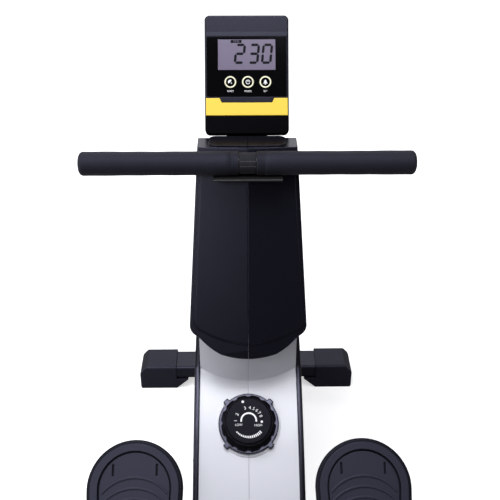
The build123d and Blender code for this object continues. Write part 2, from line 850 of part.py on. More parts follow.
with BuildPart() as handle_cradle:
    with BuildSketch(side_plane(0)):
        with BuildLine():
            root = shelf_corner - panel_up * cradle_root
            Polyline(flat(shelf_corner - pull * cradle_reach), flat(shelf_tip),
                     flat(shelf_tip - shelf_up * cradle_thickness),
                     flat(root + panel_normal * cradle_thickness + panel_up * cradle_thickness),
                     flat(root), flat(root - pull * cradle_reach), close=True)
        make_face()
    extrude(amount=cradle_width / 2)
    split(bisect_by=panel_plane(seam_gap / 2), keep=Keep.TOP)
    fillet(handle_cradle.edges().filter_by(Axis.X).sort_by(Axis.Y)[:2], radius=cradle_edge)
    mirror(about=Plane.YZ)
pieces["handle_cradle"] = handle_cradle

# Hood: two moulded halves that close round the mast
hood_panel_z = hood_lip_z + hood_lip_height
hood_front_y = panel_y(hood_panel_z)
crest_front_y = panel_y(hood_top_z)
crest_back_y = crest_front_y + hood_crest_depth
hood_back_y = crest_back_y + hood_back_y_run
hood_back_z = hood_top_z - hood_back_y_run * tan(radians(hood_back_slope))


def hood_back(z):
    """Y of the hood's back at height z."""
    return hood_back_y + hood_back_lean * (hood_back_z - z) / (hood_back_z - hood_lip_z)


def hood_front(grow, bottom_z):
    """Front view of the hood; bottom_z cuts it off straight there, else it has its bowed lip."""
    side_z = hood_lip_z + hood_side_rise
    with BuildSketch(front_plane(hood_front_y - hood_front_room)) as view:
        with BuildLine():
            half = hood_half(side_z)
            top_line = Polyline((half, side_z), (hood_half(hood_top_z), hood_top_z),
                                (-hood_half(hood_top_z), hood_top_z), (-half, side_z))
            if bottom_z:
                Polyline(top_line @ 0, (half, bottom_z), (-half, bottom_z), top_line @ 1)
            else:
                lip_side = hood_lip_z + hood_lip_side_rise
                ThreePointArc((-hood_lip_half, lip_side), (0, hood_lip_z), (hood_lip_half, lip_side))
                Line(top_line @ 0, (hood_lip_half, lip_side))
                Line(top_line @ 1, (-hood_lip_half, lip_side))
        make_face()
        if not bottom_z:
            fillet(view.vertices().group_by(Axis.Y)[1], radius=hood_corner)
        if grow:
            offset(amount=grow, mode=Mode.REPLACE)
    return view.sketch


def hood_side(grow, bottom_z):
    """Side view of the hood, cut off at bottom_z."""
    with BuildSketch(side_plane(-hood_waist_half)) as view:
        with BuildLine():
            Polyline((hood_front_y, bottom_z), (hood_front_y, hood_panel_z),
                     (crest_front_y, hood_top_z), (crest_back_y, hood_top_z),
                     (hood_back_y, hood_back_z), (hood_back(bottom_z), bottom_z), close=True)
        make_face()
        if grow:
            offset(amount=grow, mode=Mode.REPLACE)
    return view.sketch


def panel_view():
    """Front view of the raised panel, a margin inside the hood's outline."""
    low_z = hood_panel_z + panel_bow
    top_z = hood_top_z - panel_top_drop
    low_x = hood_half(low_z) - panel_margin
    top_x = hood_half(top_z) - panel_margin
    with BuildSketch(front_plane(hood_front_y - hood_front_room)) as view:
        with BuildLine():
            Polyline((low_x, low_z), (top_x, top_z), (-top_x, top_z), (-low_x, low_z))
            ThreePointArc((-low_x, low_z), (0, hood_panel_z), (low_x, low_z))
        make_face()
        fillet(view.vertices().group_by(Axis.Y)[0], radius=panel_corner)
    return view.sketch


def hood_block(side_view, front_view, height):
    """Hood form between two views, with its front cut at the panel's height, as the right half."""
    with BuildPart() as block:
        extrude(side_view, amount=3 * hood_waist_half)
        extrude(front_view, amount=-hood_depth, mode=Mode.INTERSECT)
        split(bisect_by=panel_plane(height), keep=Keep.BOTTOM)
        split(bisect_by=Plane.YZ.offset(seam_gap / 2), keep=Keep.TOP)
    return block


hood_depth = hood_back(hood_lip_z) - hood_front_y + 2 * hood_front_room
hood_open_z = hood_lip_z - hood_front_room
hood_body = hood_block(hood_side(0.0, hood_lip_z), hood_front(0.0, None), -hood_rebate)
hood_inner = hood_block(hood_side(-shell_wall, hood_open_z), hood_front(-shell_wall, hood_open_z),
                        -hood_rebate - shell_wall)
with BuildPart() as hood_panel:
    add(hood_block(hood_side(0.0, hood_lip_z), panel_view(), 0.0).part)
    panel_edges = hood_panel.faces().sort_by(Axis(panel_point, half_normal))[-1].edges()
    fillet(panel_edges.filter_by(lambda edge: edge.center().X > seam_gap), radius=panel_round)
boss_heights = (hood_lip_z + hood_boss_rise, mast_top_z - hood_boss_drop)
with BuildPart() as hood_right:
    add(hood_body.part)
    margin_edges = hood_right.faces().sort_by(Axis(panel_point, half_normal))[-1].edges()
    outer_edges = margin_edges.filter_by(lambda edge: edge.center().X > hood_lip_half)
    fillet(outer_edges, radius=hood_edge)
    add(hood_panel.part)
    with BuildSketch(Plane.XY.offset(hood_top_z - collar_sink)):
        with Locations((0, (crest_front_y + collar_setback + crest_back_y) / 2)):
            RectangleRounded(2 * collar_half, crest_back_y - crest_front_y - collar_setback,
                             collar_round)
    extrude(amount=collar_height + collar_sink)
    add(hood_inner.part, mode=Mode.SUBTRACT)
    with BuildSketch(strap_plane.offset(-strap_slot_reach)):
        Rectangle(strap_width + 2 * strap_slot_room, strap_slot_height)
    extrude(amount=2 * strap_slot_reach, mode=Mode.SUBTRACT)
    with BuildSketch(Plane.XY.offset(hood_back_z - neck_slot_reach)):
        with Locations((0, mast_y + mast_size / 2 + neck_thickness / 2)):
            Rectangle(neck_width + 2 * neck_slot_room, neck_thickness + 2 * neck_slot_room)
    extrude(amount=2 * neck_slot_reach, mode=Mode.SUBTRACT)
    split(bisect_by=Plane.YZ.offset(seam_gap / 2), keep=Keep.TOP)
    for z in boss_heights:
        with BuildSketch(side_plane(mast_size / 2 + bolt_clearance)):
            with Locations((mast_y, z)):
                Circle(hood_boss_radius)
        extrude(amount=hood_half(z) - mast_size / 2 - shell_wall / 2)
pieces["hood_right"] = hood_right
pieces["hood_left"] = mirrored(hood_right)

# Lower housing: silver halves with a sloping deck, a wall under the hood and a flywheel cover
cover_radius = flywheel_radius + flywheel_cover_gap
crease_y = hood_front_y + wall_overhang
crease_side_y = crease_y + wall_arc
deck_low = (nose_y, nose_z - nose_drop)
deck_mid = (knob_y, knob_z)
deck_high = (crease_side_y, knob_z + crease_rise + deck_end_rise)
housing_back_y = flywheel_y + cover_radius


def circle_centre(a, b, c):
    """Centre of the circle through three side view points."""
    d = 2 * (a[0] * (b[1] - c[1]) + b[0] * (c[1] - a[1]) + c[0] * (a[1] - b[1]))
    squares = [p[0] ** 2 + p[1] ** 2 for p in (a, b, c)]
    y = (squares[0] * (b[1] - c[1]) + squares[1] * (c[1] - a[1]) + squares[2] * (a[1] - b[1])) / d
    z = (squares[0] * (c[0] - b[0]) + squares[1] * (a[0] - c[0]) + squares[2] * (b[0] - a[0])) / d
    return y, z


def housing_outline(x, grow=0.0):
    """Side view of the lower housing as a face at x, grown or shrunk all round."""
    reach = hypot(deck_high[0] - flywheel_y, deck_high[1] - flywheel_z)
    bearing = atan2(deck_high[1] - flywheel_z, deck_high[0] - flywheel_y)
    touch = degrees(bearing) - degrees(atan2(sqrt(reach ** 2 - cover_radius ** 2), cover_radius))
    with BuildSketch(side_plane(x)) as outline:
        with BuildLine():
            ThreePointArc(deck_low, deck_mid, deck_high)
            over = CenterArc((flywheel_y, flywheel_z), cover_radius, 0, touch)
            Line(deck_high, over @ 1)
            Polyline(over @ 0, (housing_back_y, housing_bottom_z), (nose_y, housing_bottom_z), deck_low)
        make_face()
        fillet(outline.vertices().sort_by_distance((x, deck_low[0], deck_low[1]))[0], radius=nose_radius)
        if grow:
            offset(amount=grow, mode=Mode.REPLACE)
    return outline.sketch


column_top_z = hood_lip_z + hood_side_rise + column_lap
column_back_y = hood_back(column_top_z) - shell_wall - column_gap
deck_centre = circle_centre(deck_low, deck_mid, deck_high)
knob_normal = Vector(0, knob_y - deck_centre[0], knob_z - deck_centre[1]).normalized()
knob_plane = Plane(origin=(0, knob_y, knob_z), x_dir=(1, 0, 0), z_dir=knob_normal)


def column(inset, bottom_z, top_z):
    """The curved wall that rises from the deck into the hood."""
    half = housing_half - inset
    with BuildPart() as block:
        with BuildSketch(Plane.XY.offset(bottom_z)):
            with BuildLine():
                ThreePointArc((-half, crease_side_y + inset), (0, crease_y + inset),
                              (half, crease_side_y + inset))
                Polyline((half, crease_side_y + inset), (half, column_back_y - inset),
                         (-half, column_back_y - inset), (-half, crease_side_y + inset))
            make_face()
        extrude(amount=top_z - bottom_z)
    return block


wall_outer = column(0.0, flywheel_z, column_top_z)
wall_inner = column(shell_wall, flywheel_z, column_top_z + shell_wall)
with BuildPart() as housing:
    extrude(housing_outline(-housing_half), amount=2 * housing_half)
    add(wall_outer.part)
    with BuildSketch(knob_plane.offset(-shell_wall)):
        Circle(knob_base_radius + pad_margin)
    extrude(amount=shell_wall + pad_height)
    inner_half = housing_half - shell_wall
    extrude(housing_outline(-inner_half, -shell_wall), amount=2 * inner_half, mode=Mode.SUBTRACT)
    add(wall_inner.part, mode=Mode.SUBTRACT)
    with BuildSketch(knob_plane.offset(-knob_hole_reach)):
        Circle(knob_shaft_radius + knob_hole_gap)
    extrude(amount=2 * knob_hole_reach, mode=Mode.SUBTRACT)
    with BuildSketch(front_plane(nose_y - channel_reach)):
        with Locations((0, beam_z)):
            Rectangle(2 * plate_outer + 2 * part_gap, beam_height + 2 * channel_room)
    extrude(amount=nose_y - housing_back_y - 2 * channel_reach, mode=Mode.SUBTRACT)

with BuildPart() as shell_right:
    add(housing.part)
    split(bisect_by=Plane.YZ.offset(seam_gap / 2), keep=Keep.TOP)
    for y in (nose_y + housing_boss_front, housing_back_y - shell_wall - housing_boss_back):
        with BuildSketch(side_plane(beam_width / 2 + bolt_clearance)):
            with Locations((y, beam_top - housing_boss_drop)):
                Circle(housing_boss_radius)
        extrude(amount=housing_half - beam_width / 2 - shell_wall / 2)
pieces["shell_right"] = shell_right
pieces["shell_left"] = mirrored(shell_right)

with BuildPart() as side_cover:
    extrude(housing_outline(housing_half + seam_gap, side_cover_rise), amount=side_cover_thickness)
    fillet(side_cover.faces().sort_by(Axis.X)[-1].edges(), radius=side_cover_round)
pieces["side_cover_right"] = side_cover
pieces["side_cover_left"] = mirrored(side_cover)

# Tension knob on its base, and the cable that it draws
base_plane = knob_plane.offset(pad_height)
with BuildPart() as knob_base:
    with BuildSketch(base_plane):
        Circle(knob_base_radius)
        with PolarLocations(knob_base_radius, knob_tabs, knob_tab_turn):
            RectangleRounded(knob_tab, knob_tab, knob_tab_round)
        Circle(knob_shaft_radius + running_clearance, mode=Mode.SUBTRACT)
    extrude(amount=knob_base_height)
    chamfer(knob_base.faces().sort_by(SortBy.AREA)[-1].outer_wire().edges(), length=knob_base_edge)
pieces["knob_base"] = knob_base

with BuildPart() as tension_knob:
    with BuildSketch(Plane.XZ):
        with BuildLine():
            low = knob_base_height + pad_height + part_gap
            top = low + knob_height
            Polyline((0, -knob_shaft_depth), (knob_shaft_radius, -knob_shaft_depth),
                     (knob_shaft_radius, low), (knob_skirt_radius, low),
                     (knob_skirt_radius, low + knob_skirt_height),
                     (knob_dial_radius + knob_step_run, low + knob_skirt_height + knob_step),
                     (knob_dial_radius + knob_draft, top - knob_edge),
                     (knob_dial_radius + knob_draft - knob_edge, top), (0, top), close=True)
        make_face()
    revolve(axis=Axis.Z)
    with BuildSketch(Plane.XY.offset(low)):
        with PolarLocations(knob_skirt_radius + knob_flute_radius / 2, knob_flutes):
            Circle(knob_flute_radius)
    extrude(amount=knob_height / 2, mode=Mode.SUBTRACT)
tension_knob.part.location = Location(knob_plane)
pieces["tension_knob"] = tension_knob

# Brake cable: from the knob's shaft, over the drive and down to the free end of the magnet bracket
cable_x = -plate_inner + cable_radius + cable_gap
cable_top_z = hood_lip_z - cable_drop
magnet_end = radians(magnet_pivot_angle + magnet_reach_angle)
cable_end_y = flywheel_y + (magnet_inner - magnet_gap) * cos(magnet_end)
cable_end_z = flywheel_z + (magnet_inner + cable_hook) * sin(magnet_end)
cable_route = [
    (cable_x, knob_y + cable_ahead, knob_z - cable_below),
    (cable_x, spool_y + knob_shaft_radius, knob_z + cable_rise),
    (cable_x, mast_y - cable_bend, cable_top_z),
    (cable_x, flywheel_y + cable_bend, cable_top_z),
    (cable_x, cable_end_y, cable_end_z),
]
with BuildPart() as brake_cable:
    with BuildLine() as cable_path:
        FilletPolyline(*cable_route, radius=cable_bend)
    with BuildSketch(Plane(origin=cable_path.line @ 0, z_dir=cable_path.line % 0)):
        Circle(cable_radius)
    sweep()
pieces["brake_cable"] = brake_cable

# Console: front case, rear case, window, display, trim, board and three push buttons
tilt = radians(console_tilt)
console_foot_y = mast_y - console_forward
console_foot_z = hood_top_z + console_lift
face = Plane(
    origin=(0, console_foot_y + console_length / 2 * cos(tilt),
            console_foot_z + console_length / 2 * sin(tilt)),
    x_dir=(1, 0, 0),
    z_dir=(0, -sin(tilt), cos(tilt)),
)
button_xs = [button_shift + button_pitch * step for step in (-1, 0, 1)]
window_mid = (window_top + window_bottom) / 2
lcd_mid = (lcd_top + lcd_bottom) / 2
trim_width = console_width - 2 * trim_margin


def trim_face(grow):
    """The trim band with its notch, as a face on the console's front."""
    with BuildSketch(face.offset(-trim_depth)) as band:
        with BuildLine():
            half = trim_width / 2
            Polyline((-half, trim_bottom), (half, trim_bottom), (half, trim_top),
                     (trim_notch_half + trim_notch_slope, trim_top),
                     (trim_notch_half, trim_top - trim_notch_depth),
                     (-trim_notch_half, trim_top - trim_notch_depth),
                     (-trim_notch_half - trim_notch_slope, trim_top), (-half, trim_top), close=True)
        make_face()
        if grow:
            offset(amount=grow, mode=Mode.REPLACE)
    return band.sketch


with BuildPart() as console_case:
    with BuildSketch(face):
        RectangleRounded(console_width, console_length, console_corner)
    extrude(amount=-console_front_depth)
    fillet(console_case.faces().sort_by_distance(face.origin)[0].outer_wire().edges(),
           radius=console_edge)
    with BuildSketch(face.offset(-console_front_depth)):
        Rectangle(console_width - 2 * console_wall, console_length - 2 * console_wall)
    extrude(amount=console_front_depth - console_front_wall, mode=Mode.SUBTRACT)
    with BuildSketch(face):
        with Locations((0, window_mid)):
            RectangleRounded(window_width + seam_gap, window_top - window_bottom + seam_gap,
                             window_corner)
    extrude(amount=-window_thickness, mode=Mode.SUBTRACT)
    with BuildSketch(face):
        with Locations((0, lcd_mid)):
            Rectangle(lcd_width + seam_gap, lcd_top - lcd_bottom + seam_gap)
    extrude(amount=-lcd_thickness - seam_gap, mode=Mode.SUBTRACT)
    with BuildSketch(face):
        with Locations(*[(x, button_row) for x in button_xs]):
            Circle(button_radius + part_gap)
    extrude(amount=-console_front_depth, mode=Mode.SUBTRACT)
    extrude(trim_face(seam_gap / 2), amount=trim_depth + trim_proud, mode=Mode.SUBTRACT)
pieces["console_case"] = console_case

with BuildPart() as console_window:
    with BuildSketch(face.offset(-window_thickness)):
        with Locations((0, window_mid)):
            RectangleRounded(window_width, window_top - window_bottom, window_corner)
        with Locations((0, lcd_mid)):
            Rectangle(lcd_width + seam_gap, lcd_top - lcd_bottom + seam_gap, mode=Mode.SUBTRACT)
        with Locations(*[(x, button_row) for x in button_xs]):
            Circle(button_radius + part_gap, mode=Mode.SUBTRACT)
    extrude(amount=window_thickness)
pieces["console_window"] = console_window

with BuildPart() as lcd_panel:
    with BuildSketch(face.offset(-lcd_thickness - seam_gap)):
        with Locations((0, lcd_mid)):
            Rectangle(lcd_width, lcd_top - lcd_bottom)
    extrude(amount=lcd_thickness)
pieces["lcd_panel"] = lcd_panel

with BuildPart() as console_trim:
    extrude(trim_face(0.0), amount=trim_depth + trim_proud)
    chamfer(console_trim.faces().sort_by(Axis((0, 0, 0), face.z_dir))[-1].edges(), length=trim_edge)
pieces["console_trim"] = console_trim

for name, x in zip(("button_left", "button_middle", "button_right"), button_xs):
    with BuildPart() as button:
        with BuildSketch(face.offset(button_proud - button_body)):
            with Locations((x, button_row)):
                Circle(button_radius)
        extrude(amount=button_body)
        fillet(button.edges().sort_by(Axis((0, 0, 0), face.z_dir))[-1], radius=button_edge)
    pieces[name] = button

board_depth = button_body - button_proud + button_travel + part_gap
with BuildPart() as circuit_board:
    with BuildSketch(face.offset(-board_depth)):
        Rectangle(board_width, console_length - 2 * board_inset)
    extrude(amount=-board_thickness)
    with BuildSketch(face.offset(-board_depth - board_thickness)):
        with GridLocations(console_width - 2 * console_wall - board_lug,
                           console_length - 2 * board_lug_inset, 2, 2):
            Rectangle(board_lug - seam_gap, board_lug_height)
    extrude(amount=board_thickness)
pieces["circuit_board"] = circuit_board

with BuildPart() as console_back:
    with BuildSketch(face.offset(-console_front_depth - seam_gap)):
        RectangleRounded(console_width, console_length, console_corner)
    extrude(amount=-(console_depth - console_front_depth - seam_gap), taper=console_back_taper)
    with BuildSketch(face.offset(-console_front_depth - seam_gap)):
        Rectangle(console_width - 2 * console_wall, console_length - 2 * console_wall)
    extrude(amount=-(console_depth - console_front_depth - seam_gap - console_wall),
            taper=console_back_taper, mode=Mode.SUBTRACT)
pieces["console_back"] = console_back

# Console bracket: a bent plate bolted to the back of the mast
back_normal = Vector(0, sin(tilt), -cos(tilt))
face_up = Vector(0, cos(tilt), sin(tilt))
back_point = face.origin + back_normal * (console_depth + seam_gap / 2)
neck_front_y = mast_y + mast_size / 2 + bolt_clearance
neck_back_y = neck_front_y + neck_thickness


def back_line(y, depth):
    """Point of the console's back plane, depth further back, at the given y."""
    start = back_point + back_normal * depth
    return start + face_up * ((y - start.Y) / cos(tilt))


with BuildPart() as console_bracket:
    neck_low_z = mast_top_z - neck_overlap
    neck_end = back_point + face_up * neck_reach
    with BuildSketch(side_plane(-neck_width / 2)):
        with BuildLine():
            Polyline((neck_front_y, neck_low_z), flat(back_line(neck_front_y, 0.0)), flat(neck_end),
                     flat(neck_end + back_normal * neck_thickness),
                     flat(back_line(neck_back_y, neck_thickness)), (neck_back_y, neck_low_z),
                     close=True)
        make_face()
    extrude(amount=neck_width)
pieces["console_bracket"] = console_bracket

# Pedals: moulded foot plates on a common axle, each with a webbing strap
pedal_x = pedal_spacing / 2
pedal_turn = radians(pedal_angle)
pedal_normal = Vector(0, -sin(pedal_turn), cos(pedal_turn))
pedal_up = Vector(0, cos(pedal_turn), sin(pedal_turn))
axle_point = Vector(0, pedal_axle_y, pedal_axle_z)
plate_origin = axle_point + pedal_normal * pedal_drop + Vector(pedal_x, 0, 0)
plate = Plane(origin=plate_origin, x_dir=(1, 0, 0), z_dir=pedal_normal)
toe_radius = pedal_width / 2
heel_radius = toe_radius - heel_taper
hub_half = toe_radius - pedal_hub_inset
strap_foot = toe_radius - foot_strap_inset
strap_slot = foot_strap_thickness + 2 * part_gap
strap_plate_offset = foot_strap_mid - foot_strap_width / 2
strap_depth = pedal_drop - pedal_hub_radius - foot_strap_thickness


def pedal_outline(z, grow):
    """Foot plate outline at height z over the plate top, grown or shrunk all round."""
    with BuildSketch(plate.offset(z)) as outline:
        with Locations((0, pedal_length / 2 - toe_radius)):
            Circle(toe_radius + grow)
        with Locations((0, heel_radius - pedal_length / 2)):
            Circle(heel_radius + grow)
        make_hull(outline.edges())
    return outline.sketch


def pedal_ring(z, outer, inner):
    """Band of the foot plate between two insets, at height z over the plate top."""
    with BuildSketch(plate.offset(z)) as band:
        add(plate.to_local_coords(pedal_outline(0.0, -outer)))
        add(plate.to_local_coords(pedal_outline(0.0, -inner)), mode=Mode.SUBTRACT)
    return band.sketch


panel_inset = pedal_edge + pedal_rim_width + pedal_groove
with BuildPart() as pedal:
    extrude(pedal_outline(-pedal_thickness, 0.0), amount=pedal_thickness)
    fillet(pedal.faces().sort_by(Axis(plate_origin, pedal_normal))[-1].edges(), radius=pedal_round)
    extrude(pedal_outline(-pedal_round, -pedal_edge), amount=pedal_round + pedal_rim)
    extrude(pedal_outline(pedal_floor, -panel_inset), amount=pedal_rim, mode=Mode.SUBTRACT)
    extrude(pedal_ring(-pedal_groove_depth, panel_inset - pedal_groove, panel_inset),
            amount=pedal_thickness, mode=Mode.SUBTRACT)
    with BuildSketch(plate.offset(pedal_floor)):
        for row in range(tread_count):
            apex = pedal_length / 2 - tread_first - row * tread_pitch
            chord = 2 * sqrt(tread_radius ** 2 - (tread_radius - tread_depth) ** 2)
            with BuildLine():
                ThreePointArc((-chord / 2, apex - tread_depth), (0, apex),
                              (chord / 2, apex - tread_depth))
                offset(amount=tread_width / 2, side=Side.BOTH)
            make_face()
        add(plate.to_local_coords(pedal_outline(0.0, -panel_inset - pedal_groove)), mode=Mode.INTERSECT)
    extrude(amount=tread_height)
    with BuildSketch(plate.offset(pedal_floor)):
        with Locations((toe_slot_x, pedal_length / 2 - toe_slot_drop),
                       (-toe_slot_x, pedal_length / 2 - toe_slot_drop)):
            Rectangle(toe_slot_width, toe_slot_length)
    extrude(amount=-pedal_groove_depth - pedal_floor, mode=Mode.SUBTRACT)
    with BuildSketch(plate.offset(-pedal_round)):
        add(plate.to_local_coords(pedal_outline(0.0, -pedal_round)))
        add(plate.to_local_coords(pedal_outline(0.0, -pedal_round - pedal_heel_wall)), mode=Mode.SUBTRACT)
        with Locations((0, heel_radius + pedal_heel_wall - pedal_length / 2)):
            Rectangle(2 * pedal_width, 2 * pedal_length, align=(Align.CENTER, Align.MIN),
                      mode=Mode.SUBTRACT)
    extrude(amount=pedal_round + pedal_heel_height)
    with BuildSketch(plate.offset(-pedal_thickness)):
        with Locations((strap_foot, foot_strap_mid), (-strap_foot, foot_strap_mid)):
            Rectangle(strap_slot, foot_strap_width + 2 * foot_slot_room)
    extrude(amount=pedal_thickness + pedal_rim, mode=Mode.SUBTRACT)
    with BuildSketch(side_plane(pedal_x - hub_half)):
        with Locations((pedal_axle_y, pedal_axle_z)):
            Circle(pedal_hub_radius)
    extrude(amount=2 * hub_half)
    with BuildSketch(side_plane(pedal_x - hub_half)):
        with Locations((pedal_axle_y, pedal_axle_z)):
            Circle(shaft_radius + running_clearance)
    extrude(amount=2 * hub_half, mode=Mode.SUBTRACT)
pieces["pedal_right"] = pedal
pieces["pedal_left"] = mirrored(pedal)

strap_section = Plane(origin=plate_origin + pedal_up * strap_plate_offset, x_dir=(1, 0, 0),
                      z_dir=-pedal_up)
with BuildPart() as foot_strap:
    with BuildSketch(strap_section):
        with BuildLine():
            left = (-strap_foot, foot_strap_straight)
            right = (strap_foot, foot_strap_straight)
            Line((-strap_foot, -strap_depth), left)
            ThreePointArc(left, (0, foot_strap_height), right)
            Line(right, (strap_foot, -strap_depth))
            offset(amount=foot_strap_thickness / 2, side=Side.BOTH)
        make_face()
    extrude(amount=-foot_strap_width)
pieces["foot_strap_right"] = foot_strap
pieces["foot_strap_left"] = mirrored(foot_strap)

collar_x = pedal_x + hub_half + part_gap
inner_collar_x = pedal_x - hub_half - part_gap - axle_inner_collar
axle_half = collar_x + axle_collar + axle_tip
with BuildPart() as pedal_axle:
    with BuildSketch(side_plane(-axle_half)):
        with Locations((pedal_axle_y, pedal_axle_z)):
            Circle(shaft_radius)
    extrude(amount=2 * axle_half)
    for x, length in ((collar_x, axle_collar), (inner_collar_x, axle_inner_collar)):
        with BuildSketch(side_plane(x)):
            with Locations((pedal_axle_y, pedal_axle_z)):
                Circle(shaft_radius + axle_collar_rise)
        extrude(amount=length)
    mirror(about=Plane.YZ)
pieces["pedal_axle"] = pedal_axle

# Rail: an aluminium extrusion with running flanges, hinged between the cheeks
rail_rear_y = rear_y + rail_tail
groove_z = rail_bottom + groove_rise
trim_y = hinge_y - cheek_radius - flange_trim
with BuildPart() as rail:
    with BuildSketch(front_plane(rail_front_y)):
        with Locations((0, rail_top_z - rail_flange / 2)):
            RectangleRounded(rail_flange_width, rail_flange, flange_round)
        with Locations((0, rail_top_z - rail_height / 2)):
            RectangleRounded(rail_body_width, rail_height, rail_round)
            Rectangle(rail_body_width - 2 * rail_wall, rail_height - 2 * rail_flange,
                      mode=Mode.SUBTRACT)
        with Locations((rail_body_width / 2, groove_z), (-rail_body_width / 2, groove_z)):
            Rectangle(2 * groove_depth, groove_height, mode=Mode.SUBTRACT)
    extrude(amount=rail_front_y - rail_rear_y)
    for side in (1, -1):
        with BuildSketch(front_plane(trim_y)):
            with Locations((side * rail_flange_width / 2, rail_top_z)):
                Rectangle(rail_flange_width - rail_body_width, 3 * rail_flange)
        extrude(amount=trim_y - rail_front_y - rail_nose, mode=Mode.SUBTRACT)
    with BuildSketch(side_plane(-rail_body_width / 2)):
        with Locations((hinge_y, hinge_z)):
            Circle(hinge_pin_radius + hinge_tube_wall)
    extrude(amount=rail_body_width)
    with BuildSketch(side_plane(-rail_body_width / 2)):
        with Locations((hinge_y, hinge_z)):
            Circle(hinge_pin_radius + running_clearance)
    extrude(amount=rail_body_width, mode=Mode.SUBTRACT)
pieces["rail"] = rail

with BuildPart() as fold_knob:
    tip_x = rail_body_width / 2 + part_gap
    knob_x = plate_outer + clamp_stand
    with BuildSketch(side_plane(tip_x)):
        with Locations((clamp_y, clamp_z)):
            Circle(clamp_radius)
    extrude(amount=knob_x - tip_x)
    with BuildSketch(side_plane(knob_x)):
        with Locations((clamp_y, clamp_z)):
            Circle(fold_knob_radius - lobe_radius / 2)
            with PolarLocations(fold_knob_radius - lobe_radius, lobe_count):
                Circle(lobe_radius)
    extrude(amount=fold_knob_height)
    with BuildSketch(side_plane(plate_outer + part_gap)):
        with Locations((clamp_y, clamp_z)):
            Circle(clamp_radius + clamp_collar)
    extrude(amount=knob_x - plate_outer - part_gap)
pieces["fold_knob"] = fold_knob

# Rear leg with its cross tube and feet
leg_y = rear_y + foot_depth / 2
rear_tube_half = rear_width / 2 - foot_length + foot_socket
with BuildPart() as rear_leg:
    with BuildSketch(side_plane(-rear_tube_half)):
        with Locations((leg_y, tube_z)):
            RectangleRounded(tube_depth, tube_height, tube_round)
            RectangleRounded(tube_depth - 2 * tube_wall, tube_height - 2 * tube_wall,
                             tube_round - tube_wall, mode=Mode.SUBTRACT)
    extrude(amount=2 * rear_tube_half)
    with BuildSketch(Plane.XY.offset(tube_top)):
        with Locations((0, leg_y)):
            RectangleRounded(rear_leg_width, tube_depth, leg_round)
            Rectangle(rear_leg_width - 2 * tube_wall, tube_depth - 2 * tube_wall, mode=Mode.SUBTRACT)
    extrude(amount=rail_bottom - seam_gap / 2 - tube_top)
pieces["rear_leg"] = rear_leg

with BuildPart() as rear_foot:
    add(foot_block(rear_width, leg_y))
pieces["rear_foot_right"] = rear_foot
pieces["rear_foot_left"] = mirrored(rear_foot)

# Rubber stops at both ends of the seat's travel
front_stop_y = trim_y - stop_length
rear_stop_y = rear_y + foot_depth + stop_length
stop_height = upper_roller_radius + stop_over
with BuildPart() as rail_stops:
    with BuildSketch(Plane.XY.offset(rail_top_z)):
        with Locations((0, front_stop_y), (0, rear_stop_y)):
            RectangleRounded(rail_body_width, stop_length, stop_round)
    extrude(amount=stop_height)
    with BuildSketch(front_plane(rail_rear_y - seam_gap / 2)):
        with Locations((0, rail_top_z - rail_flange / 2)):
            RectangleRounded(rail_flange_width, rail_flange, flange_round)
        with Locations((0, rail_top_z - rail_height / 2)):
            RectangleRounded(rail_body_width, rail_height, rail_round)
    extrude(amount=rail_tail - seam_gap / 2)
pieces["rail_stops"] = rail_stops

# Seat: a contoured pad on a rolling carriage
seat_y = (front_stop_y + rear_stop_y) / 2
cheek_x = rail_flange_width / 2 + carriage_gap
cheek_outer_x = cheek_x + carriage_thickness
roller_top_z = rail_top_z + part_gap + upper_roller_radius
deck_z = roller_top_z + upper_roller_radius + carriage_room
lower_roller_z = rail_top_z - rail_flange - part_gap - lower_roller_radius
cheek_low_z = lower_roller_z - lower_roller_radius - cheek_margin
roller_ys = (seat_y - roller_spacing / 2, seat_y + roller_spacing / 2)
with BuildPart() as seat_carriage:
    with BuildSketch(front_plane(seat_y + carriage_length / 2)):
        with BuildLine():
            Polyline((-cheek_outer_x, cheek_low_z), (-cheek_outer_x, deck_z + carriage_thickness),
                     (cheek_outer_x, deck_z + carriage_thickness), (cheek_outer_x, cheek_low_z),
                     (cheek_x, cheek_low_z), (cheek_x, deck_z), (-cheek_x, deck_z),
                     (-cheek_x, cheek_low_z), close=True)
        make_face()
    extrude(amount=carriage_length)
    with BuildSketch(side_plane(-cheek_outer_x)):
        with Locations((roller_ys[0], roller_top_z), (roller_ys[1], roller_top_z)):
            Circle(roller_bolt_radius + bolt_clearance)
        with Locations((seat_y, lower_roller_z)):
            Circle(roller_bolt_radius + bolt_clearance)
    extrude(amount=2 * cheek_outer_x, mode=Mode.SUBTRACT)
pieces["seat_carriage"] = seat_carriage

with BuildPart() as roller_bolts:
    with BuildSketch(side_plane(-cheek_outer_x - bolt_head)):
        with Locations((roller_ys[0], roller_top_z), (roller_ys[1], roller_top_z)):
            Circle(roller_bolt_radius)
    extrude(amount=2 * (cheek_outer_x + bolt_head))
    with BuildSketch(side_plane(rail_body_width / 2 + part_gap)):
        with Locations((seat_y, lower_roller_z)):
            Circle(roller_bolt_radius)
    extrude(amount=cheek_outer_x + bolt_head - rail_body_width / 2 - part_gap)
    with BuildSketch(side_plane(cheek_outer_x + seam_gap / 2)):
        with Locations((roller_ys[0], roller_top_z), (roller_ys[1], roller_top_z),
                       (seat_y, lower_roller_z)):
            RegularPolygon(roller_bolt_radius + bolt_head_rim, 6)
    extrude(amount=bolt_head)
    mirror(about=Plane.YZ)
pieces["roller_bolts"] = roller_bolts

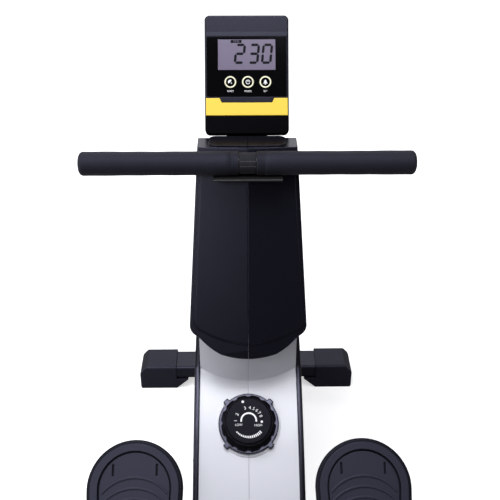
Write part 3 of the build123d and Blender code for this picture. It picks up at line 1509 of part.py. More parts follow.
for name, y in zip(("upper_roller_rear", "upper_roller_front"), roller_ys):
    with BuildPart() as upper_roller:
        with BuildSketch(side_plane(-upper_roller_width / 2)):
            with Locations((y, roller_top_z)):
                Circle(upper_roller_radius)
                Circle(roller_bolt_radius + running_clearance, mode=Mode.SUBTRACT)
        extrude(amount=upper_roller_width)
        rims = upper_roller.edges().filter_by(GeomType.CIRCLE).sort_by(SortBy.LENGTH)[-2:]
        chamfer(rims, length=roller_edge)
    pieces[name] = upper_roller

with BuildPart() as lower_rollers:
    with BuildSketch(side_plane(cheek_x - roller_washer - lower_roller_width)):
        with Locations((seat_y, lower_roller_z)):
            Circle(lower_roller_radius)
            Circle(roller_bolt_radius + running_clearance, mode=Mode.SUBTRACT)
    extrude(amount=lower_roller_width)
    mirror(about=Plane.YZ)
pieces["lower_rollers"] = lower_rollers

# Seat pad: crowned, drawn in below, wider at the rear than at the front
pad_z = deck_z + carriage_thickness + seam_gap / 2
pad_levels = [
    (0.0, seat_draw),
    (seat_thickness * 0.45, 0.0),
    (seat_thickness - seat_crown, seat_draw * 0.3),
    (seat_thickness, seat_draw * 1.6),
]
with BuildPart() as seat_pad:
    for level, inset in pad_levels:
        with BuildSketch(Plane.XY.offset(pad_z + level)):
            with Locations((0, seat_y)):
                RectangleRounded(seat_width - 2 * inset, seat_length - 2 * inset, seat_corner)
    loft()
pieces["seat_pad"] = seat_pad

os.makedirs("parts", exist_ok=True)
for name, piece in pieces.items():
    piece.part.label = name
    export_step(piece.part, f"parts/{name}.step")
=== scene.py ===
# %% [markdown]
# # A folding rowing machine, dressed over its measured model
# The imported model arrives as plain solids, one for each real piece, already in the right place.
# This lesson gives each of them its finish, replaces the soft ones (foam grips, webbing, seat pad)
# with proper soft forms, prints the display and the dial, and sets up a white studio.
# Everything is in metres: X to the rower's right, Y towards the flywheel, Z up from the floor.

# %% Load the measured model
import json
import math
import bmesh
import bpy
from mathutils import Matrix, Vector
from mathutils.bvhtree import BVHTree


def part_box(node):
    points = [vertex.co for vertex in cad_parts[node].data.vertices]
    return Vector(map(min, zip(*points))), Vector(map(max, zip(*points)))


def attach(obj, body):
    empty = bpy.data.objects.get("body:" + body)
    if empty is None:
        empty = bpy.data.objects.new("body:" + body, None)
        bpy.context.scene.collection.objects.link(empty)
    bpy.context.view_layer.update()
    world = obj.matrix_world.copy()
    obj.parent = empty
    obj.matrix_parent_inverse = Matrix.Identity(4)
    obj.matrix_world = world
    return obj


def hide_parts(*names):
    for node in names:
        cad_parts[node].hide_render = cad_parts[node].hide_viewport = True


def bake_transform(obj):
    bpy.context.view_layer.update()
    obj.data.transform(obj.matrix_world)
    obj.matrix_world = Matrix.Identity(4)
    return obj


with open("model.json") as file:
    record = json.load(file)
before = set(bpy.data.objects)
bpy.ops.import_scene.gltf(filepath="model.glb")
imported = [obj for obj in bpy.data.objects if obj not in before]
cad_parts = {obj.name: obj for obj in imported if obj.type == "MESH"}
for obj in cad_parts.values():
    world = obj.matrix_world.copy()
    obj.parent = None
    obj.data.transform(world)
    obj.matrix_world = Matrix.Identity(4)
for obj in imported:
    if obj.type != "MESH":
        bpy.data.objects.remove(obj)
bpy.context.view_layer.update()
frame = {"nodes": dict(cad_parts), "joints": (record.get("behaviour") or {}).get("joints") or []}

nodes = frame["nodes"]
joints = {joint["name"]: joint for joint in frame["joints"]}
mm = 0.001
x_axis, y_axis, z_axis = Vector((1.0, 0.0, 0.0)), Vector((0.0, 1.0, 0.0)), Vector((0.0, 0.0, 1.0))
sides = ((1, "right"), (-1, "left"))

# %% [markdown]
# ## Small helpers
# A piece is finished when its object sits at the origin, unturned and unscaled, with its place in
# its mesh, because patterns that read Object coordinates would slide otherwise. So every helper
# that makes a piece returns it already in place. Most soft forms are a skin through rings of
# points: a grip is a turned profile, a strap is a flat section carried along a path.

# %% Helpers for mesh pieces
def put(name, data):
    """Object at the origin that shows a mesh, a curve, a lamp or a camera."""
    piece = bpy.data.objects.new(name, data)
    bpy.context.scene.collection.objects.link(piece)
    return piece


def mesh_object(name, vertices, faces, edges=(), smooth=True):
    mesh = bpy.data.meshes.new(name)
    mesh.from_pydata([tuple(v) for v in vertices], edges, faces)
    mesh.update()
    mesh.polygons.foreach_set("use_smooth", [smooth] * len(mesh.polygons))
    return put(name, mesh)


def tidy_normals(piece, merge=1e-6):
    work = bmesh.new()
    work.from_mesh(piece.data)
    if merge:
        bmesh.ops.remove_doubles(work, verts=work.verts, dist=merge)
    bmesh.ops.recalc_face_normals(work, faces=work.faces)
    work.to_mesh(piece.data)
    work.free()
    return piece


def skin(name, rings, closed=False, cloth=None, smooth=True):
    """Closed surface through rings of points; cloth gives (across, along) in metres for each point."""
    count = len(rings[0])
    faces = []
    for i in range(len(rings) if closed else len(rings) - 1):
        here, there = i * count, (i + 1) % len(rings) * count
        for j in range(count):
            k = (j + 1) % count
            faces.append((here + j, here + k, there + k, there + j))
    if not closed:
        last = (len(rings) - 1) * count
        faces.append(tuple(reversed(range(count))))
        faces.append(tuple(range(last, last + count)))
    piece = mesh_object(name, [point for ring in rings for point in ring], faces, smooth=smooth)
    if not cloth:
        return tidy_normals(piece)
    layer = piece.data.uv_layers.new(name="cloth")
    for loop in piece.data.loops:
        layer.data[loop.index].uv = cloth[loop.vertex_index]
    return tidy_normals(piece, merge=None)


def face_frame(origin, across, normal):
    """Matrix from flat artwork (x across, y up, z out) to a face of the machine."""
    across, normal = Vector(across).normalized(), Vector(normal).normalized()
    matrix = Matrix((across, normal.cross(across), normal)).transposed().to_4x4()
    matrix.translation = Vector(origin)
    return matrix


def lathe(name, profile, matrix, segments):
    """Turned form about a frame's z axis; profile holds (radius, height) and closes itself."""
    rings = []
    for step in range(segments):
        turn = 2 * math.pi * step / segments
        rings.append([matrix @ Vector((r * math.cos(turn), r * math.sin(turn), h)) for r, h in profile])
    return skin(name, rings, closed=True)


def box_outline(left, low, right, high):
    return [(left, low), (right, low), (right, high), (left, high)]


# %% Helpers for finished meshes
def evaluated_mesh(piece):
    depsgraph = bpy.context.evaluated_depsgraph_get()
    return bpy.data.meshes.new_from_object(piece.evaluated_get(depsgraph))


def keep_mesh(piece, mesh):
    """Makes a mesh the piece's own, in place of its modifiers and its old mesh."""
    old = piece.data
    piece.modifiers.clear()
    piece.data = mesh
    bpy.data.meshes.remove(old)


def joined(name, pieces):
    """One mesh object from several, which are removed."""
    work = bmesh.new()
    for piece in pieces:
        work.from_mesh(piece.data)
    mesh = bpy.data.meshes.new(name)
    work.to_mesh(mesh)
    work.free()
    for piece in pieces:
        old = piece.data
        bpy.data.objects.remove(piece)
        bpy.data.meshes.remove(old)
    return put(name, mesh)


def paint(piece, material):
    piece.data.materials.clear()
    piece.data.materials.append(material)


def wear(piece, material, body):
    """Gives a finished piece its material and the body that it belongs to."""
    paint(piece, material)
    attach(piece, body)


# %% [markdown]
# Materials and Geometry Nodes are both trees of nodes, so one set of helpers serves both. A node is
# made with its settings first and its inputs after them: an input that is given another node's
# output is linked to it, and any other value is set on the socket itself.

# %% Helpers for node trees
def feed(tree, socket, value):
    if isinstance(value, bpy.types.NodeSocket):
        tree.links.new(value, socket)
    else:
        socket.default_value = value


def fill(tree, node, **values):
    """Feeds a node's inputs by name, with _ for a space."""
    for label, value in values.items():
        feed(tree, node.inputs[label.replace("_", " ")], value)
    return node


def add(tree, kind, settings=None, **values):
    node = tree.nodes.new(kind)
    for label, value in (settings or {}).items():
        setattr(node, label, value)
    return fill(tree, node, **values)


def maths(tree, operation, *values, clamp=False):
    node = add(tree, "ShaderNodeMath", dict(operation=operation, use_clamp=clamp))
    for socket, value in zip(node.inputs, values):
        feed(tree, socket, value)
    return node.outputs[0]


def vector_maths(tree, operation, *vectors):
    """Number that a Vector Math node makes from two vectors."""
    node = add(tree, "ShaderNodeVectorMath", dict(operation=operation))
    for socket, value in zip(node.inputs, vectors):
        feed(tree, socket, value)
    return node.outputs["Value"]


def mixed(tree, factor, first, second):
    """Colour between two; each is a colour or another node's output."""
    mix = add(tree, "ShaderNodeMix", dict(data_type="RGBA"), Factor=factor)
    for label, colour in (("A", first), ("B", second)):
        linked = isinstance(colour, bpy.types.NodeSocket)
        feed(tree, mix.inputs[label], colour if linked else (*colour, 1.0))
    return mix.outputs["Result"]


def object_place(tree):
    return add(tree, "ShaderNodeTexCoord").outputs["Object"]


def new_group(name, inputs, outputs):
    group = bpy.data.node_groups.new(name, "ShaderNodeTree")
    for label, value in inputs.items():
        socket = group.interface.new_socket(label, in_out="INPUT", socket_type="NodeSocketFloat")
        socket.default_value = value
    for label, kind in outputs.items():
        group.interface.new_socket(label, in_out="OUTPUT", socket_type="NodeSocket" + kind)
    print("group:", name)
    return group, group.nodes.new("NodeGroupInput").outputs, group.nodes.new("NodeGroupOutput")


# %% [markdown]
# ## Effects that several finishes share
# Moulded plastic, paint and rubber all have the same three things in different amounts: a fine
# grain, slow changes of gloss from handling, and edges that are never perfectly sharp. Each effect
# is a node group, built once, and every material places it with its own values.

# %% Node group: moulded grain
grain_group, given, made = new_group(
    "moulded grain", {"Scale": 900.0, "Depth": 0.3}, {"Height": "Float", "Gloss change": "Float"})
tree = grain_group
where = object_place(tree)
fine = add(tree, "ShaderNodeTexNoise", Vector=where, Scale=given["Scale"], Detail=3.0)
slow = add(tree, "ShaderNodeTexNoise", Vector=where, Scale=9.0, Detail=4.0)
fill(tree, made, Height=maths(tree, "MULTIPLY", fine.outputs["Fac"], given["Depth"]),
     Gloss_change=maths(tree, "SUBTRACT", slow.outputs["Fac"], 0.5))

# %% Node group: soft edges
edge_gain = 5.0
edge_group, given, made = new_group(
    "soft edges", {"Radius": 0.0012}, {"Normal": "Vector", "Edge": "Float"})
tree = edge_group
rounded = add(tree, "ShaderNodeBevel", dict(samples=6), Radius=given["Radius"]).outputs["Normal"]
flat = add(tree, "ShaderNodeNewGeometry").outputs["Normal"]
likeness = vector_maths(tree, "DOT_PRODUCT", rounded, flat)
sharpness = maths(tree, "SUBTRACT", 1.0, likeness, clamp=True)
fill(tree, made, Edge=maths(tree, "MULTIPLY", sharpness, edge_gain, clamp=True), Normal=rounded)

# %% [markdown]
# Webbing is woven from thick yarns that pass over and under each other. The product of two sine
# waves, one across the strap and one along it, is high where a yarn comes over and low where it
# dives, so it gives the weave its relief. It reads the strap's own map, which is in metres.

# %% Node group: weave
weave_group, given, made = new_group("webbing weave", {"Yarn": 0.0016}, {"Height": "Float"})
tree = weave_group
cloth_map = add(tree, "ShaderNodeUVMap", dict(uv_map="cloth"))
parts = add(tree, "ShaderNodeSeparateXYZ", Vector=cloth_map.outputs["UV"]).outputs
pace = maths(tree, "DIVIDE", math.pi, given["Yarn"])
over, under = [maths(tree, "SINE", maths(tree, "MULTIPLY", parts[way], pace)) for way in "XY"]
crossing = maths(tree, "MULTIPLY", over, under)
fill(tree, made, Height=maths(tree, "ADD", maths(tree, "MULTIPLY", crossing, 0.5), 0.5))

# %% [markdown]
# Foam and vinyl are both covered with small cells: open pores in the foam, a pressed leather grain
# in the vinyl. A Voronoi texture's distance to the nearest cell edge draws either.

# %% Node group: cells
cell_group, given, made = new_group(
    "cell grain", {"Scale": 700.0, "Sharpness": 3.0}, {"Height": "Float"})
tree = cell_group
cells = add(tree, "ShaderNodeTexVoronoi", dict(feature="DISTANCE_TO_EDGE"), Vector=object_place(tree),
            Scale=given["Scale"])
steep = maths(tree, "MULTIPLY", cells.outputs["Distance"], given["Sharpness"], clamp=True)
fill(tree, made, Height=steep)

# %% [markdown]
# ## Finishes
# One function makes every moulded or painted finish, because they differ only in numbers. The
# colour gets a slightly paler edge and a slow change of tone, the roughness follows the handling,
# and the grain goes through a Bump node on top of the softened edges. The paler edge stands for
# wear where pale is small and is a painted highlight where pale is large. What is the same all over,
# such as the strength of the reflection, is set on the shader's own socket. The solids that keep
# their shape are dressed in the finish as it is made.

# %% A function for moulded and painted surfaces
edge_wear_and_highlight, tone_drift, coat_rough = 0.7, 0.5, 0.12


def new_material(name):
    material = bpy.data.materials.new(name)
    material.use_nodes = True
    return material, material.node_tree, material.node_tree.nodes["Principled BSDF"]


def finish(name, colour, rough, solids="", grain=700.0, depth=0.25, bump=0.00012, edge=0.0012, pale=1.6,
           metal=0.0, gloss_swing=0.12, coat=0.0, gleam=0.5, tint=(1.0, 1.0, 1.0)):
    """Material from a colour, a roughness and amounts of each effect; solids names what wears it."""
    material, tree, shader = new_material(name)
    for solid in solids.split():
        paint(nodes[solid], material)
    texture = add(tree, "ShaderNodeGroup", dict(node_tree=grain_group), Scale=grain, Depth=depth).outputs
    edges = add(tree, "ShaderNodeGroup", dict(node_tree=edge_group), Radius=edge).outputs
    # paler edges: wear where pale is small, a painted highlight where pale is large
    worn_or_lit_edge = maths(tree, "MULTIPLY", edges["Edge"], edge_wear_and_highlight)
    drift = maths(tree, "MULTIPLY", texture["Gloss change"], tone_drift)
    paler = [min(1.0, c * pale) for c in colour]
    tone = mixed(tree, maths(tree, "ADD", worn_or_lit_edge, drift, clamp=True), colour, paler)
    swing = maths(tree, "MULTIPLY", texture["Gloss change"], gloss_swing)
    relief = add(tree, "ShaderNodeBump", dict(name="relief"), Strength=1.0, Distance=bump,
                 Height=texture["Height"], Normal=edges["Normal"])
    fill(tree, shader, Base_Color=tone, Roughness=maths(tree, "ADD", swing, rough, clamp=True),
         Normal=relief.outputs["Normal"], Metallic=metal, Specular_IOR_Level=gleam,
         Specular_Tint=(*tint, 1.0), Coat_Weight=coat, Coat_Roughness=coat_rough)
    return material


# %% [markdown]
# A mask on the height over a plane picks the lower levels of a moulding and makes them darker and duller,
# so the solid needs no second material. On the console's chin this is painted shade.

# %% A function for lower levels
def shade_below(material, origin, up, level, colour, gleam_share):
    """Gives everything lower than level over a plane a darker tone and a share of the gleam."""
    tree = material.node_tree
    shader = tree.nodes["Principled BSDF"]
    climb = vector_maths(tree, "DOT_PRODUCT", object_place(tree), up)
    low = maths(tree, "LESS_THAN", climb, Vector(up).dot(Vector(origin)) + level)
    tone = mixed(tree, low, shader.inputs["Base Color"].links[0].from_socket, colour)
    gleam = shader.inputs["Specular IOR Level"].default_value
    loss = maths(tree, "MULTIPLY", low, gleam * (1.0 - gleam_share))
    fill(tree, shader, Base_Color=tone, Specular_IOR_Level=maths(tree, "SUBTRACT", gleam, loss))


# %% Plastics
cool = (0.74, 0.74, 1.0)
moulding = dict(grain=900.0, depth=0.5, tint=cool)
fine_moulding = dict(grain=1600.0, depth=0.2, tint=cool)
finish("satin blue-black plastic", (0.0030, 0.0030, 0.0058), 0.30, "hood_left hood_right",
       grain=1500.0, depth=0.2, edge=0.0016, gleam=0.36, tint=cool)
finish("dial plastic", (0.0042, 0.0040, 0.0054), 0.30, "tension_knob",
       grain=1600.0, depth=0.3, edge=0.0016, gleam=0.05, tint=cool)
finish("dial ring plastic", (0.0050, 0.0050, 0.0075), 0.24, "knob_base", edge=0.0020, gleam=0.6,
       **fine_moulding)
finish("black moulding", (0.0036, 0.0036, 0.0058), 0.40, "console_back fold_knob", gleam=0.3, **moulding)
# painted highlight: pale=7.0 lightens the lip's edges into a painted light line along its front
finish("cradle moulding", (0.010, 0.010, 0.0105), 0.42, "handle_cradle", grain=900.0, depth=0.5,
       edge=0.0016, pale=7.0, gleam=0.4)
finish("side cover plastic", (0.0036, 0.0036, 0.0056), 0.30, "side_cover_left side_cover_right",
       grain=900.0, depth=0.4, edge=0.004, tint=cool)
finish("blue-grey moulding", (0.0135, 0.0138, 0.0215), 0.46,
       "front_foot_left front_foot_right rear_foot_left rear_foot_right middle_foot",
       gleam=0.34, **moulding)
finish("dark grey moulding", (0.02, 0.02, 0.024), 0.45,
       "transport_wheel_left transport_wheel_right guide_roller drive_pulley strap_spool"
       " upper_roller_front upper_roller_rear lower_rollers", grain=900.0)
finish("yellow trim", (0.80, 0.565, 0.048), 0.40, "console_trim", grain=1500.0, pale=1.08, edge=0.0008)
console_plastic = finish("console plastic", (0.0080, 0.0084, 0.0125), 0.36, "console_case", gleam=0.26,
                         **fine_moulding)
pedal_plastic = finish("foot plate moulding", (0.0150, 0.0150, 0.0240), 0.46, "pedal_left pedal_right",
                       gleam=0.34, **moulding)
print("plastics made")

# %% Paints, rubber and metals
steel = dict(grain=300.0, depth=0.3, metal=1.0, pale=1.15)
finish("black powder coat", (0.0085, 0.0088, 0.0135), 0.38,
       "front_stabiliser base_beam hinge_cheeks axle_plates mast console_bracket rear_leg seat_carriage",
       grain=420.0, depth=0.6, bump=0.0002, gleam=0.4, tint=cool)
finish("silver-white paint", (0.585, 0.59, 0.64), 0.36, "shell_left shell_right",
       grain=2600.0, pale=1.12, coat=0.15, gloss_swing=0.05)
finish("painted cast iron", (0.045, 0.046, 0.05), 0.5, "flywheel", grain=160.0, depth=0.8, bump=0.0004)
finish("circuit board", (0.02, 0.11, 0.045), 0.4, "circuit_board", grain=300.0)
finish("black rubber", (0.009, 0.009, 0.010), 0.62, "drive_belt brake_cable rail_stops strap_run",
       grain=1100.0, depth=0.7, bump=0.0002)
finish("satin steel", (0.20, 0.20, 0.215), 0.42, "handle_bar", **steel)
plated_steel = finish("plated steel", (0.60, 0.60, 0.62), 0.28,
                      "fold_pin spool_axle magnet_bracket pedal_axle roller_bolts", **steel)
print("paints and metals made")

# %% [markdown]
# The rail is an extrusion, so its aluminium carries fine lines along its length and nothing across.
# A noise texture whose Y is squeezed almost flat gives those lines.

# %% Drawn aluminium
rail_rough, streak_swing, streak_squeeze = 0.42, 0.22, 0.006
tree = finish("drawn aluminium", (0.40, 0.405, 0.42), rail_rough, "rail", metal=1.0, pale=1.1, grain=60.0,
              bump=0.00003).node_tree
squeeze = add(tree, "ShaderNodeMapping", Vector=object_place(tree), Scale=(1.0, streak_squeeze, 1.0))
lines = add(tree, "ShaderNodeTexNoise", Vector=squeeze.outputs["Vector"], Scale=900.0, Detail=2.0)
streak = maths(tree, "MULTIPLY", lines.outputs["Fac"], streak_swing)
streak = maths(tree, "ADD", streak, rail_rough - streak_swing / 2)
fill(tree, tree.nodes["Principled BSDF"], Roughness=streak)
print("rail finish made")

# %% [markdown]
# The soft finishes start from the same function and swap the source of the relief: cells for foam
# and vinyl, the weave for webbing. A little sheen on foam and webbing stands for loose fibres.

# %% Foam, vinyl and webbing
def soft_finish(name, colour, rough, group, sheen, bump, **values):
    material = finish(name, colour, rough, grain=2000.0, depth=0.3, bump=bump, edge=0.0002,
                      gleam=0.3, tint=cool)
    tree = material.node_tree
    fill(tree, tree.nodes["Principled BSDF"], Sheen_Weight=sheen, Sheen_Roughness=0.5)
    pattern = add(tree, "ShaderNodeGroup", dict(node_tree=group), **values)
    fill(tree, tree.nodes["relief"], Height=pattern.outputs["Height"])
    return material


foam_black = soft_finish("black foam", (0.0080, 0.0078, 0.0130), 0.60, cell_group, 0.06, 0.00012,
                         Scale=900.0, Sharpness=4.0)
vinyl_black = soft_finish("black vinyl", (0.009, 0.009, 0.0105), 0.42, cell_group, 0.0, 0.00022,
                          Scale=420.0, Sharpness=5.0)
webbing_black = soft_finish("black webbing", (0.0085, 0.0085, 0.0095), 0.75, weave_group, 0.1, 0.0004,
                            Yarn=0.0016)
thread_grey = finish("sewing thread", (0.07, 0.07, 0.08), 0.7, grain=3000.0, depth=0.6, edge=0.0001)
print("soft finishes made")

# %% [markdown]
# The display window is polished black plastic, smoother than anything else on the machine. The
# panel behind it is a grey liquid crystal with the faint mauve of its polariser.

# %% Window, display and inks
finish("black window", (0.0012, 0.0012, 0.0018), 0.12,
       "console_window button_left button_middle button_right",
       grain=200.0, depth=0.05, bump=0.00001, edge=0.0004, gloss_swing=0.03, gleam=0.14)
display_grey = finish("liquid crystal", (0.125, 0.102, 0.165), 0.3, "lcd_panel", grain=2200.0, depth=0.05,
                      bump=0.00002, edge=0.0002, pale=1.2, gloss_swing=0.05)
segment_ink = finish("display segments", (0.0020, 0.0020, 0.0045), 0.35, grain=900.0, edge=0.0001,
                     gleam=0.1)
ink = dict(grain=1800.0, edge=0.0001, pale=1.1)
cream_ink = finish("cream print", (0.80, 0.77, 0.56), 0.5, **ink)
white_ink = finish("white print", (0.78, 0.78, 0.80), 0.5, **ink)
print("display finishes made")

# %% [markdown]
# ## Geometry Nodes for what repeats
# Stitches follow a line and screws sit on points, so two small node trees make them all. Each tree
# has its sizes as named inputs and ends in Realize Instances and Set Material, and the result is
# turned into a plain mesh at once.

# %% Helpers for Geometry Nodes
def new_tree(name, sizes):
    tree = bpy.data.node_groups.new(name, "GeometryNodeTree")
    tree.interface.new_socket("Geometry", in_out="INPUT", socket_type="NodeSocketGeometry")
    for label in sizes:
        tree.interface.new_socket(label, in_out="INPUT", socket_type="NodeSocketFloat")
    tree.interface.new_socket("Material", in_out="INPUT", socket_type="NodeSocketMaterial")
    tree.interface.new_socket("Geometry", in_out="OUTPUT", socket_type="NodeSocketGeometry")
    return tree, tree.nodes.new("NodeGroupInput").outputs


def end_tree(tree, given, instances):
    realise = add(tree, "GeometryNodeRealizeInstances", Geometry=instances)
    coloured = add(tree, "GeometryNodeSetMaterial", Geometry=realise.outputs["Geometry"],
                   Material=given["Material"])
    add(tree, "NodeGroupOutput", Geometry=coloured.outputs["Geometry"])
    print("tree:", tree.name)


def grow(piece, tree, **values):
    """Runs a tree on a piece and keeps the result as its plain mesh."""
    modifier = piece.modifiers.new(tree.name, "NODES")
    modifier.node_group = tree
    for socket in tree.interface.items_tree:
        if socket.in_out == "INPUT" and socket.name in values:
            modifier[socket.identifier] = values[socket.name]
    keep_mesh(piece, evaluated_mesh(piece))


# %% Tree: a row of stitches along a line
stitch_tree, given = new_tree("stitch row", ["Pitch", "Stitch", "Thread"])
tree = stitch_tree
row = add(tree, "GeometryNodeMeshToCurve", Mesh=given["Geometry"])
holes = add(tree, "GeometryNodeCurveToPoints", dict(mode="LENGTH"), Curve=row.outputs["Curve"],
            Length=given["Pitch"]).outputs
bead = add(tree, "GeometryNodeMeshUVSphere", Segments=6, Rings=5, Radius=0.5)
size = add(tree, "ShaderNodeCombineXYZ", X=given["Thread"], Y=given["Thread"], Z=given["Stitch"])
sew = add(tree, "GeometryNodeInstanceOnPoints", Points=holes["Points"], Rotation=holes["Rotation"],
          Instance=bead.outputs["Mesh"], Scale=size.outputs["Vector"])
end_tree(tree, given, sew.outputs["Instances"])


def stitch_rows(name, lines, body, pitch=3.2 * mm, stitch=2.4 * mm, thread=0.8 * mm):
    """Rows of stitches in grey thread; each line is a list of points on the cloth."""
    vertices, edges = [], []
    for line in lines:
        first = len(vertices)
        vertices += line
        edges += [(first + i, first + i + 1) for i in range(len(line) - 1)]
    piece = mesh_object(name, vertices, [], edges)
    grow(piece, stitch_tree, Pitch=pitch, Stitch=stitch, Thread=thread, Material=thread_grey)
    wear(piece, thread_grey, body)
    print(name, len(piece.data.polygons), "faces")


# %% [markdown]
# A screw head is a flattened cone with a crossed recess. The seats are small flat squares on the
# cover's surface, and the tree stands one head on the middle of each, turned to the square's normal.

# %% Tree: screw heads on seats
recess_long, recess_wide, recess_floor = 1.1, 0.24, 0.45
screw_tree, given = new_tree("screw heads", ["Radius", "Height"])
tree = screw_tree
facing = add(tree, "GeometryNodeInputNormal")
seats = add(tree, "GeometryNodeCaptureAttribute", dict(domain="FACE"))
seats.capture_items.new("VECTOR", "Normal")
fill(tree, seats, Geometry=given["Geometry"], Normal=facing.outputs["Normal"])
middles = add(tree, "GeometryNodeMeshToPoints", dict(mode="FACES"), Mesh=seats.outputs["Geometry"])
head = add(tree, "GeometryNodeMeshCone", Vertices=24, Radius_Top=0.72, Radius_Bottom=1.0, Depth=1.0)
cross = add(tree, "GeometryNodeJoinGeometry")
for across, along in ((recess_wide, recess_long), (recess_long, recess_wide)):
    bar = add(tree, "GeometryNodeMeshCube", Size=(across, along, 1.0))
    fill(tree, cross, Geometry=bar.outputs["Mesh"])
recess = add(tree, "GeometryNodeTransform", Geometry=cross.outputs["Geometry"],
             Translation=(0.0, 0.0, recess_floor + 0.5))
cut = add(tree, "GeometryNodeMeshBoolean", dict(operation="DIFFERENCE"), Mesh_1=head.outputs["Mesh"],
          Mesh_2=recess.outputs["Geometry"])
aim = add(tree, "FunctionNodeAlignRotationToVector", dict(axis="Z"), Vector=seats.outputs["Normal"])
size = add(tree, "ShaderNodeCombineXYZ", X=given["Radius"], Y=given["Radius"], Z=given["Height"])
stand = add(tree, "GeometryNodeInstanceOnPoints", Points=middles.outputs["Points"],
            Instance=cut.outputs["Mesh"], Rotation=aim.outputs["Rotation"], Scale=size.outputs["Vector"])
end_tree(tree, given, stand.outputs["Instances"])


def screws(name, places, normals, radius=4.0 * mm, height=1.8 * mm):
    """Screw heads standing on a surface of the frame, at places with the surface's normals."""
    vertices, faces = [], []
    half = radius / 2
    for place, normal in zip(places, normals):
        turn = face_frame(place, Vector(normal).orthogonal(), normal)
        first = len(vertices)
        vertices += [turn @ Vector((x, y, 0.0)) for x, y in box_outline(-half, -half, half, half)]
        faces.append((first, first + 1, first + 2, first + 3))
    piece = mesh_object(name, vertices, faces, smooth=False)
    grow(piece, screw_tree, Radius=radius, Height=height, Material=plated_steel)
    wear(piece, plated_steel, "frame")
    print(name, len(places), "screws")


# %% [markdown]
# ## Handle
# Each grip is a sleeve of black foam pushed over the steel bar, with a domed outer end and a few
# fine rings rolled into its inner end. It is a turned form, so one profile and a lathe make it. The
# foam is a little uneven along its length, as hands have pressed it.

# %% Foam grips
handle_low, handle_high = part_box("handle_bar")
handle_axis = Vector((0.0, (handle_low[1] + handle_high[1]) / 2, (handle_low[2] + handle_high[2]) / 2))
bar_radius = (handle_high[2] - handle_low[2]) / 2
bore = bar_radius + 0.05 * mm
bore_end = handle_high[0] + 0.3 * mm
grip_low, grip_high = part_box("grip_right")
grip_radius = (grip_high[2] - grip_low[2]) / 2
grip_inner, grip_outer = grip_low[0], grip_high[0]
lip_steps = ((0.0, 1.2 * mm), (0.6 * mm, 0.4 * mm))
ring_start, ring_count, ring_pitch, ring_depth = grip_inner + 1.4 * mm, 5, 1.9 * mm, 0.5 * mm
ring_steps = ((0.0, 0.0), (0.25, 0.0), (0.55, ring_depth), (0.80, ring_depth))
hand_press, hand_waves, wave_depth = 0.35 * mm, 9, 0.12 * mm
body_start, body_steps = ring_start + ring_count * ring_pitch, 24
dome, dome_steps, dome_power = 7.0 * mm, 10, 0.55
body_end = grip_outer - dome


def grip_profile():
    """Outline of the right grip from its inner end to its dome and back, as (radius, x) pairs."""
    profile = [(bore, grip_inner)]
    profile += [(grip_radius - drop, grip_inner + run) for run, drop in lip_steps]
    for ring in range(ring_count):
        for share, drop in ring_steps:
            profile.append((grip_radius - drop, ring_start + (ring + share) * ring_pitch))
    for step in range(body_steps + 1):
        turn = math.pi * step / body_steps
        press = hand_press * math.sin(turn) ** 2 + wave_depth * math.sin(hand_waves * turn)
        along = body_start + (body_end - body_start) * step / body_steps
        profile.append((grip_radius - max(0.0, press), along))
    for step in range(1, dome_steps + 1):
        turn = math.pi / 2 * step / dome_steps
        radius = grip_radius * max(0.0, math.cos(turn)) ** dome_power
        profile.append((radius, body_end + dome * math.sin(turn)))
    return profile + [(0.0, bore_end), (bore, bore_end)]


handle_frame = face_frame(handle_axis, y_axis, x_axis)
for side, name in sides:
    profile = [(radius, side * x) for radius, x in grip_profile()]
    grip = lathe("foam_grip_" + name, profile, handle_frame, 72)
    wear(grip, foam_black, "handle")
    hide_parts("grip_" + name)
    print(grip.name, "radius", round(grip_radius / mm, 1), "mm")

# %% [markdown]
# The pull strap is flat webbing. It is wrapped round the bar, sewn to itself, and runs back through
# the hood to the guide roller.

# %% Helpers for webbing
rolled_share = 0.35


def strap_section(width, low, high):
    """Flat section with rolled edges, as (across, out) pairs."""
    edge, half = (high - low) * rolled_share, width / 2
    left = [(-half + edge, low), (-half, low + edge), (-half, high - edge), (-half + edge, high),
            (-half / 2, high)]
    return left + [(0.0, high)] + [(-x, y) for x, y in reversed(left)] + [(0.0, low)]


def strap(name, path, across, section):
    """Webbing along a path of (place, outward) pairs, mapped in metres for the weave."""
    rings, cloth = [], []
    travelled = 0.0
    for i, (place, out) in enumerate(path):
        if i:
            travelled += (place - path[i - 1][0]).length
        rings.append([place + across * x + out * y for x, y in section])
        cloth += [(x + y, travelled) for x, y in section]
    return skin(name, rings, cloth=cloth)


# %% Pull strap
strap_width, strap_thick = 24.0 * mm, 1.6 * mm
pull = Vector(joints["handle_pull"]["axis"]).normalized()
side_up = pull.cross(x_axis)
loop_radius, loop_half, loop_steps = bar_radius + 0.5 * mm, math.radians(150.0), 48
strap_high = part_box("pull_strap")[1]
reach = (strap_high[1] - handle_axis.y) / -pull.y
free_start, free_end, free_steps = loop_radius - 2.0 * mm, reach - 1.0 * mm, 12


def round_bar(turn, radius):
    """Place round the handle's bar and the direction outward there; turn 0 faces the rower."""
    out = pull * math.cos(turn) + side_up * math.sin(turn)
    return handle_axis + out * radius, out


loop_path, free_path = [], []
for step in range(loop_steps + 1):
    loop_path.append(round_bar(loop_half * (2 * step / loop_steps - 1), loop_radius))
for step in range(free_steps + 1):
    place = handle_axis - pull * (free_start + (free_end - free_start) * step / free_steps)
    free_path.append((place - side_up * strap_thick / 2, side_up))
section = strap_section(strap_width, 0.0, strap_thick)
pull_strap = joined("webbing_pull_strap", [strap("strap_loop", loop_path, x_axis, section),
                                           strap("strap_free", free_path, x_axis, section)])
paint(pull_strap, webbing_black)
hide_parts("pull_strap")
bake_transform(pull_strap)
print("strap reaches", round(reach / mm, 1), "mm behind the handle's axis")

